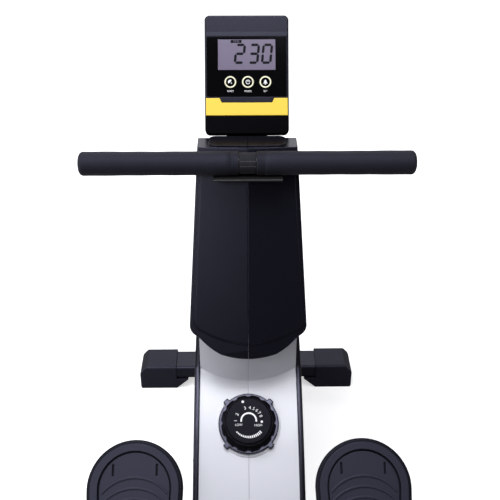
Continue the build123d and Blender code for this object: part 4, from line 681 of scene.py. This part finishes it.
# %% Stitches across the strap loop
seam_half, seam_turns = x_axis * 10.0 * mm, (24.0, -4.0)
seam_rows = []
for turn in seam_turns:
    place = round_bar(math.radians(turn), loop_radius + strap_thick)[0]
    seam_rows.append([place - seam_half, place + seam_half])
stitch_rows("strap_loop_stitches", seam_rows, "handle", pitch=2.0 * mm, stitch=1.7 * mm)

# %% [markdown]
# ## Foot plates
# Each foot plate is one moulding with a raised rim. The band outside the rim and the groove inside
# it lie lower, and a mask makes them darker and duller.

# %% Low levels of the foot plates
plate_tilt, plate_place = math.radians(42.0), Vector((157.0, 311.94, 190.06)) * mm
plate_normal = Vector((0.0, -math.sin(plate_tilt), math.cos(plate_tilt)))
tread_level = 0.8 * mm
shade_below(pedal_plastic, plate_place, plate_normal, tread_level, (0.0040, 0.0040, 0.0062), 0.5)
print("foot plates darker below", round(tread_level / mm, 1), "mm")

# %% [markdown]
# A webbing strap crosses each foot plate: one end is sewn to the plate's side, goes over the foot
# and comes back over itself with hook tape, so the wearer can set its length. The arch is the path
# of the measured strap, and a second, shorter layer lies on top of it.

# %% Path of the foot straps
strap_foot, strap_foot_low, strap_straight, strap_top = 54.0 * mm, -7.0 * mm, 22.0 * mm, 74.0 * mm
strap_mid = 5.0 * mm
rise = strap_top - strap_straight
arch_radius = (strap_foot ** 2 + rise ** 2) / (2 * rise)
arch_centre = strap_top - arch_radius


def arch(matrix, lift, first, last, steps):
    """Points of the strap's arch between two shares of its length, as (place, outward) pairs."""
    legs = strap_straight - strap_foot_low
    start_turn = math.atan2(strap_straight - arch_centre, -strap_foot)
    bow = arch_radius * (2 * start_turn - math.pi)
    path = []
    for step in range(steps + 1):
        s = (first + (last - first) * step / steps) * (2 * legs + bow)
        if s < legs:
            out, flat = -x_axis, Vector((-strap_foot, 0.0, strap_foot_low + s))
        elif s < legs + bow:
            turn = start_turn - (s - legs) / arch_radius
            out = Vector((math.cos(turn), 0.0, math.sin(turn)))
            flat = z_axis * arch_centre + out * arch_radius
        else:
            out, flat = x_axis, Vector((strap_foot, 0.0, strap_straight - (s - legs - bow)))
        flat.y = strap_mid
        path.append((matrix @ (flat + out * lift), (matrix.to_3x3() @ out).normalized()))
    return path


# %% Foot straps
foot_strap_width, over_narrower = 42.0 * mm, 3.0 * mm
under_section = strap_section(foot_strap_width, -1.4 * mm, 0.2 * mm)
over_section = strap_section(foot_strap_width - over_narrower, 0.3 * mm, 1.9 * mm)
over_shares = {"right": (0.10, 0.66), "left": (0.34, 0.90)}
thread_lift, edge_inset, edge_share, edge_steps = 2.0 * mm, 4.5 * mm, 0.01, 60
cross_share, cross_half = 0.012, 15.0 * mm
for side, name in sides:
    seat = face_frame((side * plate_place.x, plate_place.y, plate_place.z), x_axis, plate_normal)
    along = (seat.to_3x3() @ y_axis).normalized()
    first, last = over_shares[name]
    under = strap("under", arch(seat, 0.0, 0.0, 1.0, 72), along, under_section)
    over = strap("over", arch(seat, 0.0, first, last, 44), along, over_section)
    foot_strap = joined("webbing_foot_strap_" + name, [under, over])
    wear(foot_strap, webbing_black, "pedal_" + name)
    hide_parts("foot_strap_" + name)
    rows = []
    edge_path = arch(seat, thread_lift, first + edge_share, last - edge_share, edge_steps)
    for edge in (-1, 1):
        shift = along * edge * (foot_strap_width / 2 - edge_inset)
        rows.append([place + shift for place, out in edge_path])
    for share in (first + cross_share, last - cross_share):
        place = arch(seat, thread_lift, share, share, 1)[0][0]
        rows.append([place - along * cross_half, place + along * cross_half])
    stitch_rows("foot_strap_stitches_" + name, rows, "pedal_" + name)

# %% [markdown]
# ## Seat
# The seat is foam on a board under black vinyl: a crowned top with a shallow channel along its
# middle, sides that bulge, and a sewn seam where top and side panels meet. Rings of a rounded
# rectangle, drawn in at the base and at the top, give the shape. Pressure inside a cloth simulation
# then fills it, with the seam and the base held.

# %% Helpers for the seat pad
pad_low, pad_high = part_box("seat_pad")
pad_half = Vector(((pad_high[0] - pad_low[0]) / 2, (pad_high[1] - pad_low[1]) / 2, 0.0))
pad_middle = Vector((0.0, (pad_high[1] + pad_low[1]) / 2, 0.0))
pad_height = pad_high[2] - pad_low[2]
pad_corner, least_corner = 60.0 * mm, 0.35
seam_z, seam_inset = pad_low[2] + pad_height * 0.72, 2.6 * mm
top_gap, crown, channel_depth, channel_half = 1.0 * mm, 9.0 * mm, 5.0 * mm, 26.0 * mm


def rounded_ring(inset, z, count=144):
    """Ring of points round a rounded rectangle, evenly spaced, starting at one end of a side."""
    radius = max(pad_corner - inset, pad_corner * least_corner)
    a, b = pad_half.x - inset - radius, pad_half.y - inset - radius
    arc = radius * math.pi / 2
    length = 4 * (a + b) + 4 * arc
    quarters = ((0.0, 2 * b, (a, b)), (0.5, 2 * a, (-a, b)), (1.0, 2 * b, (-a, -b)), (1.5, 2 * a, (a, -b)))
    ring = []
    for step in range(count):
        s = length * step / count
        for turn, run, corner in quarters:
            out = Vector((math.cos(turn * math.pi), math.sin(turn * math.pi), 0.0))
            if s < run:
                ahead = Vector((-out.y, out.x, 0.0))
                point = Vector((*corner, 0.0)) + out * radius - ahead * (run - s)
                break
            s -= run
            if s < arc:
                angle = turn * math.pi + s / radius
                point = Vector((*corner, 0.0)) + Vector((math.cos(angle), math.sin(angle), 0.0)) * radius
                break
            s -= arc
        ring.append(pad_middle + point + z_axis * z)
    return ring


def on_top(ring):
    """Lays a ring on the top panel: crowned to the edges, with a channel along the middle."""
    for point in ring:
        x, y = point.x, point.y - pad_middle.y
        fall = (abs(x) / pad_half.x) ** 3 + (abs(y) / pad_half.y) ** 3
        channel = math.exp(-(x / channel_half) ** 2)
        point.z = pad_high[2] - top_gap - crown * min(1.0, fall) - channel_depth * channel
    return ring


# %% Seat pad before it is filled
side_levels = ((0.0, 12.0), (0.10, 6.5), (0.22, 3.0), (0.36, 1.2), (0.50, 0.6), (0.62, 1.2))
top_insets = (9.0, 17.0, 27.0, 38.0, 50.0, 62.0, 74.0, 86.0, 97.0, 107.0, 115.0)
heart_shares = (0.72, 0.46, 0.22, 0.06)
rings = [rounded_ring(inset * mm, pad_low[2] + pad_height * share) for share, inset in side_levels]
rings.append(rounded_ring(seam_inset, seam_z))
rings += [on_top(rounded_ring(inset * mm, 0.0)) for inset in top_insets]
for share in heart_shares:
    rings.append(on_top([pad_middle + (point - pad_middle) * share for point in rings[-1]]))
seat_pad = skin("vinyl_seat_pad", rings)
print("seat pad rings", len(rings), "height", round(pad_height / mm, 1), "mm")

# %% Fill the pad
fill_cap, fill_pressure, fill_steps = 5.0 * mm, 4.0, 20
held_base, held_seam = 3.0 * mm, 1.5 * mm


def swell(piece, held):
    """Fills a cover by pressure in a cloth simulation and keeps each point near its start."""
    before = [v.co.copy() for v in piece.data.vertices]
    group = piece.vertex_groups.new(name="held")
    group.add(held, 1.0, "REPLACE")
    cloth = piece.modifiers.new("filling", "CLOTH")
    cloth.settings.use_pressure = True
    cloth.settings.uniform_pressure_force = fill_pressure
    cloth.settings.vertex_group_mass = "held"
    cloth.settings.effector_weights.gravity = 0.0
    for step in range(1, fill_steps + 1):
        bpy.context.scene.frame_set(step)
    filled = evaluated_mesh(piece)
    moved = 0.0
    for vertex, start in zip(filled.vertices, before):
        shift = vertex.co - start
        if shift.length > fill_cap:
            shift *= fill_cap / shift.length
        vertex.co = start + shift
        moved = max(moved, shift.length)
    keep_mesh(piece, filled)
    bpy.context.scene.frame_set(1)
    print("largest move", round(moved / mm, 2), "mm")


swell(seat_pad, [v.index for v in seat_pad.data.vertices
                 if v.co.z < pad_low[2] + held_base or abs(v.co.z - seam_z) < held_seam])
smooth = seat_pad.modifiers.new("smooth", "SUBSURF")
smooth.levels = smooth.render_levels = 1
keep_mesh(seat_pad, evaluated_mesh(seat_pad))
wear(seat_pad, vinyl_black, "seat")
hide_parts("seat_pad")

# %% [markdown]
# The seam is finished with a thin piping cord, and a row of stitches runs just inside it. Both
# follow the same ring that held the cloth.

# %% Piping of the seat
piping_radius, piping_out, piping_sides = 1.6 * mm, 0.6 * mm, 10
seam_ring = rounded_ring(seam_inset, seam_z)
piping_turns = [2 * math.pi * k / piping_sides for k in range(piping_sides)]
piping_rings = []
for i, point in enumerate(seam_ring):
    ahead = (seam_ring[(i + 1) % len(seam_ring)] - seam_ring[i - 1]).normalized()
    out = ahead.cross(z_axis)
    centre = point + out * piping_out
    piping_rings.append([centre + (out * math.cos(a) + z_axis * math.sin(a)) * piping_radius
                         for a in piping_turns])
piping = skin("seat_piping", piping_rings, closed=True)
wear(piping, vinyl_black, "seat")
print("piping", len(piping_rings), "rings")

# %% Stitches of the seat
stitch_inset, stitch_drop = 5.0 * mm, 20.0 * mm
work = bmesh.new()
work.from_mesh(seat_pad.data)
pad_tree = BVHTree.FromBMesh(work)
work.free()
above = rounded_ring(seam_inset + stitch_inset, pad_high[2] + stitch_drop)
stitch_ring = [pad_tree.ray_cast(point, -z_axis)[0] for point in above]
stitch_rows("seat_stitches", [stitch_ring + stitch_ring[:1]], "seat", pitch=5.0 * mm,
            stitch=3.8 * mm, thread=0.9 * mm)

# %% [markdown]
# ## Console
# The console's face carries printed and displayed marks: three slanted digits on the liquid
# crystal, cream rings on the push buttons with small signs inside, and a word under each. They are
# thin raised plates, a tenth of a millimetre high, so that they hold in any light.

# %% Helpers for prints
print_low, print_high = 0.02 * mm, 0.12 * mm


def plate(outline, matrix, level=0.0):
    """Thin flat mark on a face: an outline of (x, y) points that stands on a level over it."""
    count = len(outline)
    vertices = [matrix @ Vector((x, y, level + print_low)) for x, y in outline]
    vertices += [matrix @ Vector((x, y, level + print_high)) for x, y in outline]
    faces = [tuple(reversed(range(count))), tuple(range(count, 2 * count))]
    faces += [(i, (i + 1) % count, count + (i + 1) % count, count + i) for i in range(count)]
    return tidy_normals(mesh_object("mark", vertices, faces, smooth=False))


def lettering(text, size, matrix, low=print_low, high=print_high, name="letters"):
    """Words or numbers as a thin mesh on a face."""
    curve = bpy.data.curves.new(text, "FONT")
    curve.body = text
    curve.size = size
    curve.align_x = "CENTER"
    curve.align_y = "CENTER"
    curve.resolution_u = 4
    curve.extrude = (high - low) / 2
    holder = put(text, curve)
    mesh = evaluated_mesh(holder)
    bpy.data.objects.remove(holder)
    bpy.data.curves.remove(curve)
    mesh.transform(matrix @ Matrix.Translation((0.0, 0.0, (low + high) / 2)))
    return put(name, mesh)


def on_face(matrix, x, y):
    return matrix @ Matrix.Translation((x, y, 0.0))


def round_point(radius, turn, x=0.0, y=0.0):
    return (x + radius * math.cos(turn), y + radius * math.sin(turn))


def arc_outline(inner, outer, first, last, steps=24):
    """Outline of a band between two radii and two angles, in degrees."""
    turns = [math.radians(first + (last - first) * i / steps) for i in range(steps + 1)]
    line = [round_point(outer, turn) for turn in turns]
    return line + [round_point(inner, turn) for turn in reversed(turns)]


def disc_outline(x, y, radius, steps=24):
    return [round_point(radius, 2 * math.pi * i / steps, x, y) for i in range(steps)]


def millimetres(*points):
    return [(x * mm, y * mm) for x, y in points]


# %% Display digits
console_tilt = math.radians(60.0)
console_normal = Vector((0.0, -math.sin(console_tilt), math.cos(console_tilt)))
console_middle = Vector((0.0, 700.5, 717.61)) * mm
console_face = face_frame(console_middle, x_axis, console_normal)
lcd_level = -0.3 * mm
digit_width, digit_height, digit_bar, digit_slant = 15.4 * mm, 29.0 * mm, 3.6 * mm, 0.10
digit_low, digit_gap = 15.4 * mm, 0.35 * mm
digit_lefts = {"2": -18.9 * mm, "3": 1.2 * mm, "0": 19.9 * mm}
lit_bars = {"0": "abcdef", "2": "abged", "3": "abgcd"}
flag_left, flag_low, flag_right, flag_high = -22.8 * mm, 45.4 * mm, -7.2 * mm, 49.8 * mm
flag_place, flag_size = (-15.0 * mm, 47.5 * mm), 4.2 * mm


def bar_outline(bar):
    """One of the seven bars of a digit, with pointed ends, in the digit's own upright box."""
    w, h, half, gap = digit_width, digit_height, digit_bar / 2, digit_gap
    if bar in "agd":
        y = {"a": h - half, "g": h / 2, "d": half}[bar]
        left, right = half + gap, w - half - gap
        return [(left, y), (left + half, y - half), (right - half, y - half), (right, y),
                (right - half, y + half), (left + half, y + half)]
    x = w - half if bar in "bc" else half
    low, high = (h / 2 + gap, h - half - gap) if bar in "bf" else (half + gap, h / 2 - gap)
    return [(x, low), (x + half, low + half), (x + half, high - half), (x, high),
            (x - half, high - half), (x - half, low + half)]


segments = []
for digit, left in digit_lefts.items():
    for bar in lit_bars[digit]:
        outline = [(left + x + y * digit_slant, digit_low + y) for x, y in bar_outline(bar)]
        segments.append(plate(outline, console_face, lcd_level))
segments.append(plate(box_outline(flag_left, flag_low, flag_right, flag_high), console_face, lcd_level))
digits = joined("display_digits", segments)
wear(digits, segment_ink, "frame")
flag_word = lettering("TIME", flag_size, on_face(console_face, *flag_place), lcd_level + print_high,
                      lcd_level + 2 * print_high, name="display_flag_word")
wear(flag_word, display_grey, "frame")
print("digits", len(digits.data.polygons), "faces")

# %% [markdown]
# Each button is black like the window, with a thin cream ring printed on its top. The signs inside
# are simple: a gauge, a clock and a bell. A common word stands under each button.

# %% Button rings, signs and words
button_row, button_shift, button_pitch, button_top = -10.7 * mm, 1.5 * mm, 25.0 * mm, 1.2 * mm
word_row, word_size = -23.6 * mm, 3.6 * mm
ring_inner, ring_outer = 6.4 * mm, 8.4 * mm
ring_low, ring_high = button_top - 0.1 * mm, button_top + 0.08 * mm
ring_profile = [(ring_inner, ring_low), (ring_inner, ring_high), (ring_outer, ring_high),
                (ring_outer, ring_low)]
gauge = [arc_outline(0.0, 3.4 * mm, 60.0, 215.0), disc_outline(1.6 * mm, -1.6 * mm, 0.8 * mm)]
clock_hands = millimetres((-0.3, -0.3), (1.6, 0.0), (0.3, 0.5), (0.2, 2.0), (-0.4, 2.0))
clock = [arc_outline(2.3 * mm, 3.2 * mm, 0.0, 340.0), clock_hands]
bell_cup = millimetres((-3.2, -2.2), (3.2, -2.2), (1.9, -0.6), (1.5, 1.8), (0.0, 3.2), (-1.5, 1.8),
                       (-1.9, -0.6))
bell = [bell_cup, disc_outline(0.0, -3.2 * mm, 0.8 * mm)]
buttons = (("button_left", gauge, "RESET"), ("button_middle", clock, "MODE"), ("button_right", bell, "SET"))
words = []
for place, (name, outlines, word) in enumerate(buttons):
    x = button_shift + (place - 1) * button_pitch
    centre = on_face(console_face, x, button_row)
    ring = lathe(name + "_ring", ring_profile, centre, 64)
    wear(ring, cream_ink, name)
    sign = joined(name + "_sign", [plate(outline, centre, button_top) for outline in outlines])
    wear(sign, white_ink, name)
    words.append(lettering(word, word_size, on_face(console_face, x, word_row)))
    print(ring.name, sign.name, word)
button_words = joined("button_words", words)
wear(button_words, white_ink, "frame")

# %% [markdown]
# Below the yellow trim the case tucks away under its own brow, and its chin lies in shade and looks black.
# The case is one moulding, so a mask on the height along its face paints that shade as a darker tone and
# takes most of the gleam away there.

# %% Painted shade on the chin of the case
chin_top = -58.5 * mm
face_up = console_face.to_3x3().col[1]
# painted shade: below chin_top the case gets a near-black tone and keeps only 15% of its gleam
shade_below(console_plastic, console_middle, face_up, chin_top, (0.0012, 0.0011, 0.0013), 0.15)
print("chin below", round(chin_top / mm, 1), "mm on the face")

# %% [markdown]
# Above the window the case has a shallow ledge that slopes back to the top band and catches the
# light. It is a straight moulding, so two end sections and the faces between them are enough.

# %% Ledge above the window
ledge_half = 58.2 * mm
ledge_section = millimetres((54.4, -0.2), (54.4, 0.2), (54.9, 0.4), (61.6, 0.2), (61.9, -0.2))
ledge_rings = [[console_face @ Vector((x, y, z)) for y, z in ledge_section]
               for x in (-ledge_half, ledge_half)]
ledge = skin("console_ledge", ledge_rings, smooth=False)
wear(ledge, console_plastic, "frame")
print("ledge", round(2 * ledge_half / mm, 1), "mm wide")

# %% [markdown]
# ## Tension dial
# The dial's top is printed in white: a scale from 1 to 8 round a half ring, LOW and HIGH at its
# ends, two dots, and along the lower edge a row of bars that grow with the setting. Everything
# turns with the dial. Each number and bar is set by itself, turned to its own angle.

# %% Face of the dial
dial_normal = -Vector(joints["tension_knob_turn"]["axis"]).normalized()
dial_top = 25.4 * mm
dial_middle = Vector((0.0, 472.0, 266.0)) * mm + dial_normal * dial_top
dial_face = face_frame(dial_middle, x_axis, dial_normal)


def on_dial(radius, angle, turn):
    """Place on the dial at a radius and an angle in degrees, with artwork turned by turn degrees."""
    spot = on_face(dial_face, *round_point(radius, math.radians(angle)))
    return spot @ Matrix.Rotation(math.radians(turn), 4, "Z")


# %% Dial print
dots = ((28.6 * mm, 107.0, 1.9 * mm), (18.8 * mm, -5.0, 1.7 * mm))
scale_angles = (180.0, 151.0, 106.0, 84.0, 67.0, 51.0, 36.0, 20.0)
scale_radius, scale_size = 18.6 * mm, 6.4 * mm
end_words, end_size = (("LOW", -14.2 * mm, -6.0 * mm), ("HIGH", 13.6 * mm, -6.8 * mm)), 4.6 * mm
bar_count, bar_place, bar_first, bar_last = 15, 23.4 * mm, 224.0, 316.0
bar_half, bar_low, bar_high = 0.8 * mm, 1.8 * mm, 4.4 * mm
half_ring = arc_outline(9.7 * mm, 12.0 * mm, -8.0, 188.0, 36)
marks = [plate(half_ring, dial_face)]
for radius, angle, size in dots:
    marks.append(plate(disc_outline(*round_point(radius, math.radians(angle)), size), dial_face))
for number, angle in enumerate(scale_angles, 1):
    marks.append(lettering(str(number), scale_size, on_dial(scale_radius, angle, angle - 90.0)))
for word, x, y in end_words:
    marks.append(lettering(word, end_size, on_face(dial_face, x, y)))
for i in range(bar_count):
    share = i / (bar_count - 1)
    angle = bar_first + (bar_last - bar_first) * share
    top = (bar_low + (bar_high - bar_low) * share) / 2
    bar = box_outline(-bar_half, -top, bar_half, top)
    marks.append(plate(bar, on_dial(bar_place, angle, angle + 90.0)))
dial_print = joined("dial_print", marks)
wear(dial_print, white_ink, "tension_knob")
print("dial print", len(dial_print.data.polygons), "faces")

# %% [markdown]
# ## Screws
# The side covers, the hood halves and the rear of the console are held by cross-head screws. They
# are placed where the bosses behind them would be.

# %% Screws on covers, hood and console
cover_spots = ((0.385, 0.100), (0.600, 0.094), (0.825, 0.100), (0.815, 0.285), (0.705, 0.349),
               (0.560, 0.268), (0.452, 0.215))
hood_spots = ((0.675, 0.458), (0.675, 0.525))
hood_waist_half, hood_waist_z, hood_lean = 0.082, 0.430, 12.0 / 210.0
for side, name in sides:
    cover_x = max(abs(corner[0]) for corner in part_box("side_cover_" + name))
    places = [(side * cover_x, y, z) for y, z in cover_spots]
    normals = [(side, 0.0, 0.0)] * len(cover_spots)
    places += [(side * (hood_waist_half - (z - hood_waist_z) * hood_lean), y, z) for y, z in hood_spots]
    normals += [(side, 0.0, hood_lean)] * len(hood_spots)
    screws("cover_screws_" + name, places, normals)
console_depth, back_x, back_y = 30.0 * mm, 42.0 * mm, 60.0 * mm
places = [console_face @ Vector((x, y, -console_depth))
          for x in (-back_x, back_x) for y in (-back_y, back_y)]
screws("console_screws", places, [-console_normal] * len(places), radius=3.2 * mm)

# %% [markdown]
# ## Studio
# The picture is a cut-out on white. A wide white floor fills the frame, because the camera looks
# thirty degrees down and never sees the horizon. For the camera and through glass the floor is
# partly self-lit, less near the machine than far away, so that it reads as white everywhere and
# still keeps the shadow. For every other ray it is a mid grey, because a white floor would light
# the black fronts and the underside of the lip from below.

# %% Floor
floor_half = 12.0
floor_seen, floor_unseen = (0.86, 0.86, 0.86), (0.30, 0.30, 0.30)
glow_middle = (0.0, 0.5, 0.0)
glow_near, glow_far = dict(From_Min=0.6, To_Min=0.55), dict(From_Max=1.9, To_Max=0.86)
white = (1.0, 1.0, 1.0, 1.0)


def seen_rays(tree):
    """The Light Path outputs, and 1 for what the camera sees directly or through glass."""
    rays = add(tree, "ShaderNodeLightPath").outputs
    return rays, maths(tree, "MAXIMUM", rays["Is Camera Ray"], rays["Is Transmission Ray"])


corners = [(x, y, 0.0) for x, y in box_outline(-floor_half, -floor_half, floor_half, floor_half)]
floor = mesh_object("studio_floor", corners, [(0, 1, 2, 3)])
floor_white, tree, shader = new_material("studio white")
rays, seen = seen_rays(tree)
away = vector_maths(tree, "DISTANCE", object_place(tree), glow_middle)
fade = add(tree, "ShaderNodeMapRange", dict(interpolation_type="SMOOTHSTEP"), Value=away, **glow_near,
           **glow_far)
glow = maths(tree, "MULTIPLY", seen, fade.outputs["Result"])
fill(tree, shader, Base_Color=mixed(tree, seen, floor_unseen, floor_seen), Roughness=0.9,
     Specular_IOR_Level=0.0, Emission_Color=white, Emission_Strength=glow)
paint(floor, floor_white)
print("floor", 2 * floor_half, "m wide")

# %% [markdown]
# The light is a studio's: the main softbox hangs overhead, a little in front of the machine, so the
# deck, the feet and the tube are lit from above and the wall under the lip stays in shade. A weaker
# one behind the viewer's left shoulder is what the left half of the hood mirrors, and narrow ones
# at the left, the right and the back draw the light lines along the edges. The world is bright
# only for the camera, so black surfaces have something dark to mirror.

# %% World
sky_seen, sky_unseen, sky_mirrored_loss = 0.82, 0.18, 0.1
world = bpy.data.worlds.new("studio world")
bpy.context.scene.world = world
world.use_nodes = True
tree = world.node_tree
rays, seen = seen_rays(tree)
level = maths(tree, "ADD", maths(tree, "MULTIPLY", seen, sky_seen), sky_unseen)
loss = maths(tree, "MULTIPLY", rays["Is Glossy Ray"], sky_mirrored_loss)
fill(tree, tree.nodes["Background"], Color=white, Strength=maths(tree, "SUBTRACT", level, loss))
print("world made")

# %% Lamps
lamp_tone = (0.955, 0.965, 1.0)
softboxes = {
    "top_softbox": ((-0.25, 0.12, 2.3), (0.0, 0.5, 0.2), (1.6, 0.8), 42.0),
    "key_softbox": ((-1.25, -1.35, 1.75), (0.0, 0.6, 0.45), (1.5, 1.5), 22.0),
    "left_softbox": ((-2.2, 0.5, 1.1), (0.0, 0.6, 0.3), (0.7, 1.5), 16.0),
    "right_softbox": ((2.3, 0.3, 1.3), (0.0, 0.6, 0.4), (0.7, 1.4), 5.0),
    "back_softbox": ((-0.2, 2.9, 1.8), (0.0, 0.7, 0.2), (2.0, 0.8), 13.0),
}
for name, (place, aim, size, watts) in softboxes.items():
    lamp = bpy.data.lights.new(name, "AREA")
    lamp.shape = "RECTANGLE"
    lamp.size, lamp.size_y = size
    lamp.energy = watts
    lamp.color = lamp_tone
    holder = put(name, lamp)
    holder.location = place
    holder.rotation_euler = (Vector(aim) - Vector(place)).to_track_quat("-Z", "Y").to_euler()
print("lit by", len(softboxes), "softboxes")

# %% [markdown]
# The camera is over the seat, at the height of a seated rower's eyes, and looks down at thirty
# degrees, square to the console. It is a centimetre off the middle and turned and rolled by less
# than a degree, as a camera held by hand is.

# %% Camera
eye_place, eye_lens, eye_sensor = (-0.011, -0.414, 1.072), 57.6, 36.0
yaw, pitch, roll = math.radians(-0.82), math.radians(60.0), math.radians(0.09)
eye = bpy.data.cameras.new("photo_camera")
eye.sensor_width = eye_sensor
eye.lens = eye_lens
eye_holder = put("photo_camera", eye)
turn = Matrix.Rotation(yaw, 3, "Z") @ Matrix.Rotation(pitch, 3, "X") @ Matrix.Rotation(roll, 3, "Z")
eye_holder.location = eye_place
eye_holder.rotation_euler = turn.to_euler()
bpy.context.scene.camera = eye_holder
bpy.context.scene.view_settings.view_transform = "Standard"
print("camera at", eye_place)
